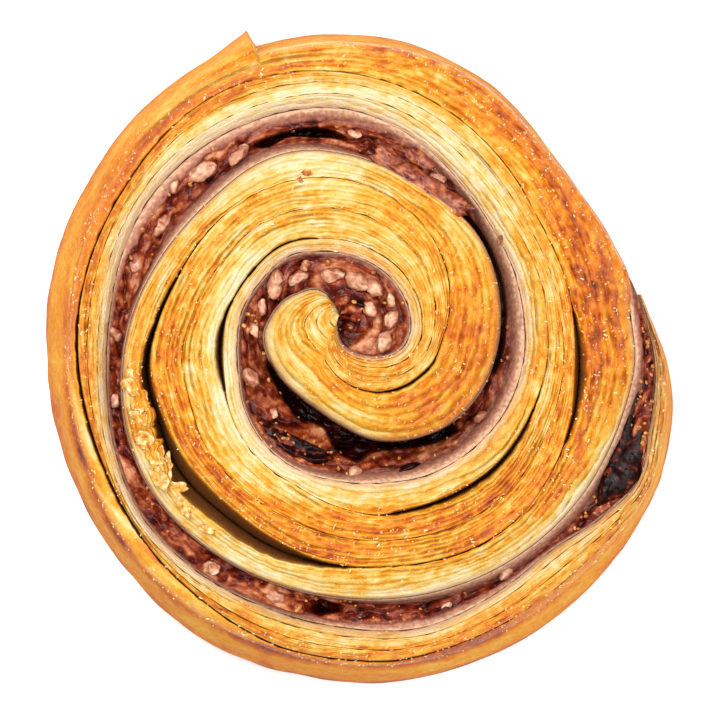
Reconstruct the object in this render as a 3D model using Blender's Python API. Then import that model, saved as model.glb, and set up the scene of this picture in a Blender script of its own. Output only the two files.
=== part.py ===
"""Spiral danish pastry with a fig and nut filling, lying on its flat base.

One arm of laminated dough coils outwards, counter-clockwise seen from above, with a
ribbon of filling rolled into it. Both run through the pastry from top to base. Three
large pieces of fig lie in troughs in the filling's top.

The tables are polar and are in millimetres and degrees. Their pole is the inner end of
the coil, and a turn angle keeps counting past 360 as the coil goes round: 0 points along
+X and 90 along +Y. Vertices are in metres, +Z is up, and the origin is at the centre of
the base's bounding box.
"""

import math

import bmesh
import bpy
from mathutils import Matrix, Vector

MM = 0.001
STEP = 5.0  # degrees between cross-sections
CLEARANCE = 0.16  # from the middle of a seam to the solid on each side of it
POLE_RADIUS = 0.5  # both ribbons keep this far from the pole

DOUGH_START, DOUGH_END = 114.0, 1077.0
FILLING_START, FILLING_END = -104.0, 726.0

# The ribbon of filling: turn angle, inner radius, outer radius.
FILLING = (
    (-110, 0.4, 0.8),
    (-98, 0.4, 2.6),
    (-85, 0.4, 5.0),
    (-60, 0.4, 8.3),
    (-45, 0.4, 10.4),
    (-30, 0.4, 12.2),
    (-15, 0.4, 12.7),
    (0, 0.4, 12.3),
    (30, 0.4, 11.2),
    (60, 0.4, 10.6),
    (90, 0.4, 10.9),
    (106, 0.4, 11.5),
    (112, 1.4, 12.0),
    (120, 4.2, 12.7),
    (135, 6.5, 13.8),
    (150, 7.9, 14.5),
    (165, 9.9, 15.6),
    (180, 11.7, 17.2),
    (195, 13.6, 18.4),
    (210, 14.3, 20.3),
    (225, 14.8, 23.3),
    (240, 15.5, 26.0),
    (255, 16.6, 27.9),
    (270, 19.0, 29.0),
    (285, 22.4, 30.3),
    (300, 25.0, 32.0),
    (315, 27.0, 33.0),
    (330, 27.9, 33.5),
    (345, 28.2, 33.2),
    (360, 28.2, 32.2),
    (375, 28.2, 31.4),
    (390, 28.0, 30.8),
    (405, 27.2, 31.2),
    (420, 26.6, 32.7),
    (435, 27.3, 34.6),
    (450, 28.4, 36.2),
    (465, 29.7, 36.8),
    (480, 30.1, 37.4),
    (495, 30.1, 38.2),
    (510, 31.2, 39.0),
    (525, 33.3, 39.5),
    (540, 36.2, 40.2),
    (555, 39.3, 42.2),
    (570, 42.6, 45.6),
    (585, 45.2, 49.2),
    (600, 46.7, 51.2),
    (615, 48.1, 52.7),
    (630, 49.4, 54.6),
    (645, 50.9, 56.6),
    (660, 52.1, 55.9),
    (672, 52.7, 55.5),
    (682, 52.9, 57.9),
    (691, 52.8, 59.8),
    (700, 52.6, 57.8),
    (711, 52.4, 56.0),
    (720, 51.2, 54.0),
    (730, 50.2, 51.8),
)

# The pastry's outside, over one turn: angle, radius of the widest part of the wall.
OUTLINE = (
    (0, 54.5),
    (10, 51.1),
    (20, 49.2),
    (30, 47.9),
    (40, 47.6),
    (50, 48.4),
    (60, 49.2),
    (90, 49.7),
    (105, 49.9),
    (135, 50.5),
    (150, 50.2),
    (165, 51.1),
    (180, 51.9),
    (195, 53.1),
    (210, 54.9),
    (225, 57.9),
    (240, 61.0),
    (255, 63.1),
    (270, 64.8),
    (285, 65.8),
    (300, 66.0),
    (315, 65.2),
    (330, 64.2),
    (340, 62.2),
    (350, 59.0),
    (360, 54.5),
)
OUTER_FROM, OUTER_BY = 726.0, 745.0  # the arm comes out to the open between these

# The loose end of the outermost skin stands out as a tab: turn angle, height of its step.
TAB_ANGLE, TAB_STEP, TAB_LENGTH = 827.5, 3.4, 26.0

# Splits between the arm's layers: turn angle, radius, width, depth.
INNER_SPLIT = (
    (465, 13.7, 0.4, 1.5),
    (510, 15.9, 0.5, 3.0),
    (540, 18.6, 0.6, 4.5),
    (555, 20.3, 1.4, 5.0),
    (567, 22.4, 1.0, 4.0),
    (576, 24.3, 0.4, 1.5),
    (610, 29.6, 0.3, 0.3),
    (632, 34.9, 0.4, 1.5),
    (655, 36.5, 0.8, 4.0),
    (675, 38.1, 0.9, 4.0),
    (690, 37.8, 0.8, 3.0),
    (700, 37.4, 0.3, 0.3),
)
OUTER_SPLIT = (
    (268, 10.6, 0.3, 0.8),
    (300, 15.5, 0.5, 2.0),
    (330, 18.2, 0.5, 2.0),
    (350, 18.6, 0.3, 0.3),
    (500, 26.6, 0.3, 0.3),
    (525, 28.8, 0.5, 3.0),
    (540, 31.5, 0.8, 6.0),
    (555, 35.0, 1.6, 9.0),
    (570, 36.6, 2.0, 11.0),
    (583, 38.9, 3.6, 12.0),
    (600, 40.3, 3.4, 12.0),
    (615, 42.4, 2.6, 9.0),
    (628, 43.7, 0.8, 4.0),
    (640, 44.6, 0.3, 0.5),
    (660, 47.0, 0.5, 1.5),
    (672, 47.2, 0.3, 0.3),
    (688, 45.6, 0.3, 1.0),
    (705, 43.8, 1.3, 5.0),
    (717, 41.6, 1.0, 4.0),
    (730, 39.9, 0.4, 1.5),
    (750, 38.6, 0.3, 0.3),
    (835, 44.0, 0.3, 0.6),
    (870, 43.7, 0.6, 2.0),
    (900, 45.7, 0.8, 3.0),
    (930, 48.7, 0.8, 3.0),
    (960, 54.5, 0.8, 3.0),
    (990, 60.7, 0.7, 2.0),
    (1020, 61.2, 0.3, 0.5),
)
PLAIN_SPLIT = (0.3, 0.15)  # width and depth of a seam where its layers hold together
LEAST_LAYER = 0.08  # a layer's least width, as a share of the arm's top

# Heights: turn angle, height of the dough's crest.
CREST = (
    (100, 27.0),
    (135, 30.0),
    (200, 31.5),
    (360, 30.5),
    (540, 29.0),
    (720, 27.5),
    (830, 26.5),
    (930, 24.0),
    (1040, 22.5),
    (1090, 21.0),
)
CREST_SPAN = (0.38, 0.62)  # the level middle of the arm, as shares of its width
INNER_DROP, OUTER_DROP = 3.2, 3.6  # from the crest down to the arm's two edges

# How far the outer wall leans in between its widest part and its shoulder.
LEAN = ((712, 0.0), (760, 1.2), (830, 2.2), (900, 4.0), (960, 5.2), (1020, 3.4), (1080, 1.0))
BASE_ROUND = 1.0
WALL_BREAK_HEIGHT = 10.0  # above this the outer wall leans in

# The filling's top: turn angle, height at the inner edge, height at the outer edge.
FILLING_TOP = (
    (-104, 23.0, 24.0),
    (0, 25.5, 26.0),
    (120, 25.0, 25.5),
    (195, 23.0, 25.0),
    (225, 18.0, 23.5),
    (270, 16.0, 23.0),
    (305, 18.0, 23.5),
    (345, 21.0, 23.0),
    (390, 18.0, 20.0),
    (410, 22.0, 23.0),
    (450, 21.0, 23.0),
    (480, 21.0, 23.5),
    (540, 22.0, 23.5),
    (630, 20.5, 22.0),
    (700, 19.5, 20.5),
    (726, 18.0, 18.5),
)
FILLING_BASE = 0.3

# Large pieces of fig: name, turn angle of the middle, length, share of the ribbon's width
# that it lies at, width, thickness, height of its underside.
FIGS = (
    ("fig_piece_inner_long", 238.0, 13.0, 0.60, 4.4, 3.6, 20.4),
    ("fig_piece_inner_short", 290.0, 8.0, 0.66, 3.6, 3.2, 20.6),
    ("fig_piece_outer", 695.0, 15.0, 0.48, 3.4, 4.4, 18.0),
)
FIG_TROUGH = 1.25  # the trough's length over the piece's
TROUGH_RISE = 2.5  # from the trough's floor to its ends
FIG_SIDES, FIG_RINGS = 12, 7


def interpolated(table, at, column=1):
    """A smooth curve through one column of a table, held level past its ends."""
    if at <= table[0][0]:
        return table[0][column]
    if at >= table[-1][0]:
        return table[-1][column]
    right = next(i for i, row in enumerate(table) if row[0] > at)
    left = right - 1

    def slope(i):
        before, after = table[max(i - 1, 0)], table[min(i + 1, len(table) - 1)]
        return (after[column] - before[column]) / (after[0] - before[0])

    span = table[right][0] - table[left][0]
    t = (at - table[left][0]) / span
    start, end = table[left][column], table[right][column]
    return (
        (1 + 2 * t) * (1 - t) ** 2 * start
        + t * (1 - t) ** 2 * span * slope(left)
        + t * t * (3 - 2 * t) * end
        + t * t * (t - 1) * span * slope(right)
    )


def turn_angles(first, last):
    """The angles of a ribbon's cross-sections: both ends, and the whole steps between."""
    steps = range(math.ceil(first / STEP + 0.3), math.floor(last / STEP - 0.3) + 1)
    return [first, *(k * STEP for k in steps), last]


def outline_radius(turn):
    """The widest radius of the outside wall, with the tab of the outermost skin."""
    past_tab = turn - TAB_ANGLE
    tab = TAB_STEP * math.exp(-3 * past_tab / TAB_LENGTH) if past_tab >= 0 else 0.0
    return interpolated(OUTLINE, turn % 360) + tab


def dough_inner(turn):
    """The arm's inner radius, against the filling of the turn before."""
    before = interpolated(FILLING, turn - 360, 2) if turn - 360 > FILLING[0][0] else 0.0
    return max(before + CLEARANCE, POLE_RADIUS)


def dough_outer(turn):
    """The arm's outer radius, against the filling or, on the last turn, in the open."""
    if turn <= OUTER_FROM:
        return interpolated(FILLING, turn) - CLEARANCE
    wrap = min((turn - OUTER_FROM) / (OUTER_BY - OUTER_FROM), 1.0)
    wrap = wrap * wrap * (3 - 2 * wrap)
    inside = interpolated(FILLING, turn) - CLEARANCE
    return inside + (outline_radius(turn) - inside) * wrap


def crest_share(share):
    """0 over the level middle of the arm, rising to -1 at its inner edge and 1 outside."""
    low, high = CREST_SPAN
    if share < low:
        return -(((low - share) / low) ** 2)
    return ((share - high) / (1 - high)) ** 2 if share > high else 0.0


def dough_height(turn, share):
    """The height of the arm's top at a share of the way across it."""
    edge = crest_share(share)
    width = dough_outer(turn) - dough_inner(turn)
    flatten = min(width / 12.0, 1.0)  # a thin arm is less domed
    drop = INNER_DROP * max(-edge, 0.0) + OUTER_DROP * max(edge, 0.0)
    return interpolated(CREST, turn) - drop * flatten


def arm_edges(turn):
    """The radii of the arm's top edges: its inner edge and its outer shoulder."""
    inner, outer = dough_inner(turn), dough_outer(turn)
    lean = interpolated(LEAN, turn) if turn > OUTER_FROM else 0.0
    return inner, outer - min(lean, 0.35 * (outer - inner))


def split_at(table, turn):
    """A split's radius, width and depth. Past its table it keeps its share of the arm."""
    nearest = min(max(turn, table[0][0]), table[-1][0])
    radius = interpolated(table, nearest, 1)
    inner, shoulder = arm_edges(turn)
    if nearest == turn:
        _, width, depth = (interpolated(table, turn, column) for column in (1, 2, 3))
    else:
        near_inner, near_shoulder = arm_edges(nearest)
        share = (radius - near_inner) / (near_shoulder - near_inner)
        radius = inner + (shoulder - inner) * share
        width, depth = PLAIN_SPLIT
    top_width = shoulder - inner
    width = min(max(width, PLAIN_SPLIT[0]), 0.3 * top_width)
    room = 0.12 * top_width + width / 2
    radius = min(max(radius, inner + room), shoulder - room)
    return radius, width, max(depth, PLAIN_SPLIT[1])


def dough_section(turn):
    """The arm's cross-section as (radius, height), from its inner foot anticlockwise."""
    outer = dough_outer(turn)
    inner, shoulder = arm_edges(turn)
    foot = min(BASE_ROUND, 0.2 * (outer - inner))
    top_width = shoulder - inner
    edge_round = min(1.0, 0.08 * top_width)

    near, near_width, near_depth = split_at(INNER_SPLIT, turn)
    far, far_width, far_depth = split_at(OUTER_SPLIT, turn)
    apart = (near_width + far_width) / 2 + LEAST_LAYER * top_width
    near = min(near, far - apart)

    def top(radius, below=0.0):
        share = min(max((radius - inner) / top_width, 0.0), 1.0)
        return radius, dough_height(turn, share) - below

    return [
        (inner + foot, 0.0),
        (outer - foot, 0.0),
        (outer - 0.1 * foot, min(foot, 1.0)),
        (outer - 0.15 * (outer - shoulder), WALL_BREAK_HEIGHT),
        (shoulder, top(shoulder, 1.4 * edge_round)[1]),
        top(shoulder - edge_round),
        top(far + far_width / 2),
        top(far, far_depth),
        top(far - far_width / 2),
        top((far - far_width / 2 + near + near_width / 2) / 2),
        top(near + near_width / 2),
        top(near, near_depth),
        top(near - near_width / 2),
        top(inner + edge_round),
        (inner, top(inner, 1.2 * edge_round)[1]),
        (inner, min(foot, 1.0)),
    ]


def fig_place(fig):
    """A fig piece's turn angle, radius and half length in degrees."""
    _, turn, length, share, *_ = fig
    inner, outer = interpolated(FILLING, turn), interpolated(FILLING, turn, 2)
    radius = inner + (outer - inner) * share
    return turn, radius, math.degrees(length / 2 / radius)


def filling_top(turn, plain):
    """The filling's top, lowered to a trough where a piece of fig lies on it."""
    for fig in FIGS:
        middle, _, half_turn = fig_place(fig)
        along = (turn - middle) / (half_turn * FIG_TROUGH)
        if abs(along) < 1.0:
            plain = min(plain, fig[6] - 2 * CLEARANCE + TROUGH_RISE * along**4)
    return plain


def filling_section(turn):
    """The filling's cross-section as (radius, height), from its inner foot."""
    inner = max(interpolated(FILLING, turn, 1) + CLEARANCE, POLE_RADIUS)
    outer = interpolated(FILLING, turn, 2) - CLEARANCE
    low, high = interpolated(FILLING_TOP, turn, 1), interpolated(FILLING_TOP, turn, 2)
    edge = 0.16 * (outer - inner)

    def top(radius):
        share = (radius - inner) / (outer - inner)
        plain = low + (high - low) * share + 0.8 * math.sin(math.pi * share)
        return radius, filling_top(turn, plain)

    return [
        (inner + edge, FILLING_BASE),
        (outer - edge, FILLING_BASE),
        (outer, FILLING_BASE + min(edge, 1.0)),
        (outer, top(outer)[1] - min(edge, 1.0)),
        top(outer - edge),
        top((inner + outer) / 2),
        top(inner + edge),
        (inner, top(inner)[1] - min(edge, 1.0)),
        (inner, FILLING_BASE + min(edge, 1.0)),
    ]


def base_centre():
    """The centre of the bounding box of the dough's plan, measured from the pole."""
    corners = [
        (radius * math.cos(math.radians(turn)), radius * math.sin(math.radians(turn)))
        for turn in turn_angles(DOUGH_START, DOUGH_END)
        for radius, _ in dough_section(turn)
    ]
    middle = [(min(side) + max(side)) / 2 for side in zip(*corners)]
    return Vector((middle[0], middle[1], 0.0))


def swept(name, section, turns):
    """A closed ribbon that joins the cross-sections at these turn angles."""
    mesh = bmesh.new()
    rings = []
    for turn in turns:
        along = Vector((math.cos(math.radians(turn)), math.sin(math.radians(turn)), 0.0))
        rings.append(
            [
                mesh.verts.new((along * radius + Vector((0.0, 0.0, height))) * MM)
                for radius, height in section(turn)
            ]
        )
    for ring, following in zip(rings, rings[1:]):
        count = len(ring)
        for i in range(count):
            j = (i + 1) % count
            mesh.faces.new((ring[i], ring[j], following[j], following[i]))
    mesh.faces.new(rings[0])
    mesh.faces.new(reversed(rings[-1]))
    bmesh.ops.triangulate(mesh, faces=mesh.faces[:])
    bmesh.ops.recalc_face_normals(mesh, faces=mesh.faces[:])
    return solid(name, mesh)


def solid(name, mesh):
    """A named object from a bmesh, shaded smooth with its sharp edges kept."""
    data = bpy.data.meshes.new(name)
    mesh.to_mesh(data)
    mesh.free()
    data.shade_smooth()
    data.set_sharp_from_angle(angle=math.radians(40))
    placed = bpy.data.objects.new(name, data)
    bpy.context.scene.collection.objects.link(placed)
    return placed


def fig_piece(fig):
    """A curved, tapered lump of fig that follows the ribbon of filling."""
    name, _, _, _, width, thickness, underside = fig
    middle, radius, half_turn = fig_place(fig)
    mesh = bmesh.new()
    rings = []
    for i in range(FIG_RINGS):
        along = -1 + 2 * (i + 0.5) / FIG_RINGS
        girth = math.sqrt(1 - along * along)
        turn = math.radians(middle + half_turn * along)
        direction = Vector((math.cos(turn), math.sin(turn), 0.0))
        ring = []
        for k in range(FIG_SIDES):
            around = 2 * math.pi * (k + 0.5) / FIG_SIDES
            out = radius + width / 2 * girth * math.cos(around)
            up = underside + thickness / 2 * (1 + girth * math.sin(around))
            ring.append(mesh.verts.new((direction * out + Vector((0.0, 0.0, up))) * MM))
        rings.append(ring)
    for ring, following in zip(rings, rings[1:]):
        for k in range(FIG_SIDES):
            j = (k + 1) % FIG_SIDES
            mesh.faces.new((ring[k], ring[j], following[j], following[k]))
    mesh.faces.new(rings[0])
    mesh.faces.new(reversed(rings[-1]))
    bmesh.ops.triangulate(mesh, faces=mesh.faces[:])
    bmesh.ops.recalc_face_normals(mesh, faces=mesh.faces[:])
    return solid(name, mesh)


def material(name, colour, roughness, coat=0.0):
    """A plain Principled material."""
    made = bpy.data.materials.new(name)
    made.use_nodes = True
    shader = made.node_tree.nodes["Principled BSDF"]
    shader.inputs["Base Color"].default_value = (*colour, 1.0)
    shader.inputs["Roughness"].default_value = roughness
    shader.inputs["Metallic"].default_value = 0.0
    shader.inputs["Coat Weight"].default_value = coat
    return made


def main():
    for old in list(bpy.data.objects):
        bpy.data.objects.remove(old)
    crust = material("baked_dough", (0.86, 0.42, 0.09), 0.55)
    jam = material("fruit_filling", (0.16, 0.025, 0.015), 0.3, coat=0.4)
    skin = material("fig_skin", (0.03, 0.012, 0.012), 0.35, coat=0.3)
    pieces = [
        (swept("dough", dough_section, turn_angles(DOUGH_START, DOUGH_END)), crust),
        (swept("filling", filling_section, turn_angles(FILLING_START, FILLING_END)), jam),
    ]
    pieces += [(fig_piece(fig), skin) for fig in FIGS]
    to_origin = Matrix.Translation(-base_centre() * MM)
    for piece, finish in pieces:
        piece.data.transform(to_origin)
        piece.data.materials.append(finish)


main()
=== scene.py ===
"""Spiral danish pastry with a fig and nut filling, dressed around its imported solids.

One arm of laminated dough coils outwards, counter-clockwise seen from above. It is made
as four sheets that run side by side from the heart of the coil to its loose end, with
the natural splits between them left open. The ribbon of filling, the pieces of fig and
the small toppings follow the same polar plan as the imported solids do.

Tables are polar, in millimetres and degrees, about the inner end of the coil. A turn
angle keeps counting past 360 as the coil goes round. Meshes are in metres.
"""

import logging
import math
from collections.abc import Callable, Sequence
from dataclasses import dataclass, field
from enum import Enum
from functools import partial

import bmesh
import bpy
import numpy as np
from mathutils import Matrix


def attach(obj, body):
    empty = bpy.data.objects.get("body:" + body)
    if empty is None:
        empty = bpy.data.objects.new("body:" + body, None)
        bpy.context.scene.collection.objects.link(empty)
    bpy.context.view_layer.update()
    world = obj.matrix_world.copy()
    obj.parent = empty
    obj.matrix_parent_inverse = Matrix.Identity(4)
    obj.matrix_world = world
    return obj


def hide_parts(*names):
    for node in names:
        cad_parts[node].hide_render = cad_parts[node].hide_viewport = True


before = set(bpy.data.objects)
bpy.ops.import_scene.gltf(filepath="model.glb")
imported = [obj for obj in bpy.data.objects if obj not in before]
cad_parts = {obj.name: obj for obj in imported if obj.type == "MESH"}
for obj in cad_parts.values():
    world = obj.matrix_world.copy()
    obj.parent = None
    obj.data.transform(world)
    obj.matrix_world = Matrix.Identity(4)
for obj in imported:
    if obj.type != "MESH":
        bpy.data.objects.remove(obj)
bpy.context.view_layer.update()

LOG = logging.getLogger("danish")
MM = 0.001
POLE = (-3.33, 7.63)  # the coil's inner end, from the centre of the base
SEAM = 0.08  # from the middle of a seam to the surface on each side of it
POLE_RADIUS = 0.05
FILLING_BASE = 0.15  # how high the filling's underside is, inside the dough's
LIT = 1.76  # how much brighter than its own colour the lamps make a level surface

Table = Sequence[Sequence[float]]

# ----------------------------------------------------------------------------- the plan

ARM_START, ARM_END = 113.0, 1084.0
FILLING_START, FILLING_END = -108.0, 728.0
FILLING_LEAVES_POLE = 108.0  # up to here the filling reaches in to the coil's pole

# The ribbon of filling: turn angle, inner radius, outer radius.
FILLING: Table = (
    (-110, 0.4, 0.8), (-98, 0.4, 2.6), (-85, 0.4, 5.0), (-60, 0.4, 8.3), (-45, 0.4, 10.4),
    (-30, 0.4, 12.2), (-15, 0.4, 12.7), (0, 0.4, 12.3), (30, 0.4, 11.2), (60, 0.4, 10.6),
    (90, 0.4, 10.9), (106, 0.4, 11.5), (112, 1.4, 12.0), (120, 4.2, 12.7), (135, 6.5, 13.8),
    (150, 7.9, 14.5), (165, 9.9, 15.6), (180, 11.7, 17.2), (195, 13.6, 18.4), (210, 14.3, 20.3),
    (225, 14.8, 23.3), (240, 15.5, 26.0), (255, 16.6, 27.9), (270, 19.0, 29.0),
    (285, 22.4, 30.3), (300, 25.0, 32.0), (315, 27.0, 33.0), (330, 27.9, 33.5),
    (345, 28.2, 33.2), (360, 28.2, 32.2), (375, 28.2, 31.4), (390, 28.0, 30.8),
    (405, 27.2, 31.2), (420, 26.6, 32.7), (435, 27.3, 34.6), (450, 28.4, 36.2),
    (465, 29.7, 36.8), (480, 30.1, 37.4), (495, 30.1, 38.2), (510, 31.2, 39.0),
    (525, 33.3, 39.5), (540, 36.2, 40.2), (555, 39.3, 42.2), (570, 42.6, 45.6),
    (585, 45.2, 49.2), (600, 46.7, 51.2), (615, 48.1, 52.7), (630, 49.4, 54.6),
    (645, 50.9, 56.6), (660, 52.1, 55.9), (672, 52.7, 55.5), (682, 52.9, 57.9),
    (691, 52.8, 59.8), (700, 52.6, 57.8), (711, 52.4, 56.0), (718, 51.3, 54.0),
    (724, 50.6, 52.4), (730, 49.8, 50.6),
)

# The outside over one turn: angle, radius of the widest part of the wall.
OUTLINE: Table = (
    (0, 54.5), (10, 51.1), (20, 49.2), (30, 47.9), (40, 47.6), (50, 48.4), (60, 49.2),
    (90, 49.7), (105, 49.9), (135, 50.5), (150, 50.2), (165, 51.1), (180, 51.9), (195, 53.1),
    (210, 54.9), (225, 57.9), (240, 61.0), (255, 63.1), (270, 64.8), (285, 65.8), (300, 66.0),
    (315, 65.2), (330, 64.2), (340, 62.2), (350, 59.0), (360, 54.5),
)
OUTER_FROM, OUTER_BY = 719.0, 731.0  # the arm comes out to the open between these
CRUST_FROM = 690.0  # from here on the brownest places have a closed crust
SKIN_FROM, SKIN_BY = 812.0, 850.0  # the crust closes into a plain skin between these
STAIN_FROM = 260.0  # the arm's first turn has no filling inside it to stain it
FLAKY = (558.0, 564.0, 580.0, 586.0)  # where an edge is torn: start, full, full, end
TAB_ANGLE, TAB_STEP, TAB_LENGTH = 827.5, 3.4, 26.0  # the loose end of the skin

# Splits between the sheets of dough: turn angle, radius, width, depth.
INNER_SPLIT: Table = (
    (465, 13.7, 0.4, 1.5), (510, 15.9, 0.5, 3.0), (540, 18.6, 0.6, 4.5), (555, 20.3, 1.4, 5.0),
    (567, 22.4, 1.0, 4.0), (576, 24.3, 0.4, 1.5), (610, 29.6, 0.3, 0.3), (640, 35.4, 0.3, 0.6),
    (649, 36.2, 0.7, 3.5), (662, 37.3, 0.9, 4.0), (676, 38.2, 1.0, 4.0), (688, 38.0, 0.7, 2.5),
    (700, 37.4, 0.3, 0.3),
)
OUTER_SPLIT: Table = (
    (268, 10.6, 0.3, 0.8), (300, 15.5, 0.5, 2.0), (330, 18.2, 0.5, 2.0), (350, 18.6, 0.3, 0.3),
    (500, 26.6, 0.3, 0.3), (525, 28.8, 0.5, 3.0), (540, 31.5, 0.8, 6.0), (555, 35.0, 1.6, 9.0),
    (570, 36.7, 2.3, 8.0), (583, 39.0, 4.0, 8.0), (600, 40.4, 3.7, 8.0), (615, 42.4, 2.8, 7.0),
    (628, 43.7, 0.8, 4.0), (640, 44.6, 0.3, 0.5), (660, 47.0, 0.5, 1.5), (672, 47.2, 0.3, 0.3),
    (686, 45.8, 0.3, 0.6), (696, 44.7, 0.9, 2.6), (705, 43.4, 1.7, 3.6), (714, 42.0, 1.3, 3.0),
    (724, 40.5, 0.3, 1.0), (750, 38.6, 0.3, 0.3), (835, 44.0, 0.3, 0.5), (870, 43.7, 0.42, 2.6),
    (900, 45.7, 0.5, 3.0), (930, 48.7, 0.52, 3.2), (960, 54.5, 0.48, 3.0),
    (990, 60.7, 0.42, 2.4), (1020, 61.2, 0.3, 0.5),
)
# The crease that runs along the skin's shoulder: turn angle, radius.
CREASE: Table = (
    (795, 45.0), (825, 46.0), (855, 46.2), (885, 46.7), (900, 47.3), (912, 48.6),
)
PLAIN_SPLIT = (0.05, 0.1)  # width and depth of a seam where its sheets hold together
CREASE_WIDTH = 0.28  # from the crease's middle to where it has mostly faded
SEAM_TUCK = 0.1  # how far a wall draws in at the base
LEAST_LAYER = 0.08  # a sheet's least width, as a share of the arm's top

# Heights: turn angle, height of the dough's crest.
CREST: Table = (
    (100, 27.0), (135, 30.0), (200, 31.5), (360, 30.5), (540, 29.0), (720, 27.5), (830, 26.5),
    (930, 24.0), (1040, 22.5), (1090, 21.0),
)
CREST_SPAN = (0.38, 0.62)
INNER_DROP, OUTER_DROP = 2.4, 3.4
FOOT_HEIGHT, FOOT_DEPTH = 3.0, 1.7  # the rounding at the foot of the outer wall
WALL_BAKE_AND_SHADE, WALL_DARK = 0.72, 0.85  # the browning inside a split, partly painted shade, and the painted shade there

# How far the outer wall leans in: turn angle, lean.
LEAN: Table = (
    (712, 0.0), (760, 1.2), (830, 2.2), (900, 4.0), (960, 5.2), (1020, 3.4), (1080, 1.0),
)

# The filling's top: turn angle, height at the inner edge, height at the outer edge.
FILLING_TOP: Table = (
    (-104, 23.0, 24.0), (0, 25.5, 26.0), (120, 25.0, 25.5), (195, 23.0, 25.0), (225, 18.0, 23.5),
    (270, 16.0, 23.0), (305, 18.0, 23.5), (345, 21.0, 23.0), (390, 18.0, 20.0),
    (410, 22.0, 23.0), (450, 21.0, 23.0), (480, 21.0, 23.5), (540, 22.0, 23.5),
    (630, 20.5, 22.0), (690, 20.0, 20.5), (712, 22.6, 21.6), (728, 22.4, 19.5),
)

# How far the oven browned the dough, 0 cream to 1 dark: turn angle, then seven places
# evenly spaced from the arm's inner edge to its outer edge.
BROWNING: Table = (
    (114, 0.30, 0.30, 0.30, 0.30, 0.30, 0.30, 0.30),
    (180, 0.35, 0.35, 0.30, 0.38, 0.45, 0.30, 0.15),
    (225, 0.30, 0.33, 0.35, 0.33, 0.28, 0.20, 0.10),
    (270, 0.50, 0.50, 0.45, 0.35, 0.35, 0.25, 0.20),
    (300, 0.45, 0.45, 0.48, 0.35, 0.40, 0.46, 0.46),
    (330, 0.35, 0.40, 0.32, 0.42, 0.52, 0.50, 0.50),
    (360, 0.20, 0.25, 0.40, 0.48, 0.55, 0.40, 0.35),
    (390, 0.20, 0.20, 0.30, 0.40, 0.50, 0.40, 0.35),
    (420, 0.15, 0.20, 0.25, 0.30, 0.40, 0.48, 0.40),
    (450, 0.12, 0.18, 0.28, 0.28, 0.25, 0.22, 0.12),
    (480, 0.12, 0.20, 0.28, 0.35, 0.33, 0.28, 0.12),
    (510, 0.10, 0.18, 0.25, 0.35, 0.42, 0.35, 0.15),
    (540, 0.08, 0.15, 0.30, 0.46, 0.60, 0.36, 0.22),
    (570, 0.08, 0.14, 0.36, 0.52, 0.60, 0.48, 0.26),
    (600, 0.08, 0.16, 0.42, 0.58, 0.50, 0.30, 0.16),
    (630, 0.10, 0.28, 0.48, 0.58, 0.56, 0.24, 0.14),
    (660, 0.10, 0.32, 0.48, 0.56, 0.56, 0.42, 0.12),
    (690, 0.12, 0.28, 0.42, 0.53, 0.58, 0.52, 0.18),
    (720, 0.12, 0.36, 0.46, 0.58, 0.66, 0.64, 0.70),
    (750, 0.12, 0.25, 0.35, 0.46, 0.58, 0.68, 0.80),
    (780, 0.12, 0.18, 0.28, 0.38, 0.50, 0.62, 0.62),
    (810, 0.10, 0.15, 0.22, 0.30, 0.52, 0.56, 0.48),
    (835, 0.08, 0.10, 0.20, 0.60, 0.55, 0.45, 0.32),
    (870, 0.08, 0.10, 0.22, 0.60, 0.66, 0.50, 0.58),
    (900, 0.08, 0.18, 0.38, 0.66, 0.52, 0.45, 0.65),
    (930, 0.10, 0.18, 0.45, 0.58, 0.42, 0.40, 0.78),
    (960, 0.12, 0.20, 0.40, 0.60, 0.42, 0.45, 0.82),
    (990, 0.12, 0.18, 0.25, 0.42, 0.55, 0.50, 0.68),
    (1020, 0.12, 0.18, 0.32, 0.48, 0.60, 0.72, 0.68),
    (1050, 0.28, 0.32, 0.36, 0.40, 0.45, 0.50, 0.60),
    (1077, 0.30, 0.35, 0.40, 0.45, 0.50, 0.60, 0.70),
)

# Bands of dough that the fruit has stained: turn angle, width at the filling's inner
# edge, width at its outer edge.
STAINED: Table = (
    (-110, 0.4, 0.4), (60, 0.0, 0.7), (120, 0.3, 0.9), (180, 0.4, 0.6), (240, 0.4, 0.8),
    (270, 0.2, 1.6), (285, 0.2, 2.4), (300, 0.2, 2.6), (345, 0.3, 2.9), (360, 0.3, 3.2),
    (390, 0.3, 2.2), (405, 0.3, 1.4), (435, 0.5, 2.2), (460, 1.5, 2.3), (480, 2.0, 1.8),
    (510, 1.8, 2.2), (530, 0.8, 0.9), (600, 0.3, 0.5), (630, 0.5, 1.2), (645, 1.2, 1.8),
    (665, 1.8, 0.8), (700, 2.0, 0.2), (726, 1.5, 0.2),
)

# Hollows where the filling has sunk away: depth, then turn angle, inner and outer radius.
HOLLOWS: Sequence[tuple[float, Table]] = (
    (
        8.0,
        (
            (212, 14.4, 15.2), (225, 14.8, 16.2), (240, 15.5, 18.0), (247, 16.2, 19.2),
            (262, 18.0, 19.8), (268, 18.6, 23.2), (277, 20.6, 25.8), (283, 22.4, 24.6),
            (292, 23.6, 25.2), (307, 26.0, 27.8), (318, 27.4, 29.4),
        ),
    ),
    (5.0, ((338, 28.2, 29.0), (350, 28.2, 29.2), (385, 28.0, 28.9), (402, 27.4, 28.2))),
    (
        7.0,
        (
            (446, 30.4, 30.9), (453, 31.3, 32.4), (460, 31.9, 33.2), (466, 32.7, 33.3),
            (472, 32.2, 33.5), (478, 32.9, 33.4),
        ),
    ),
    (6.0, ((622, 51.0, 51.6), (626, 50.0, 52.4), (629, 50.6, 52.0), (632, 51.0, 51.4))),
)

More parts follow.
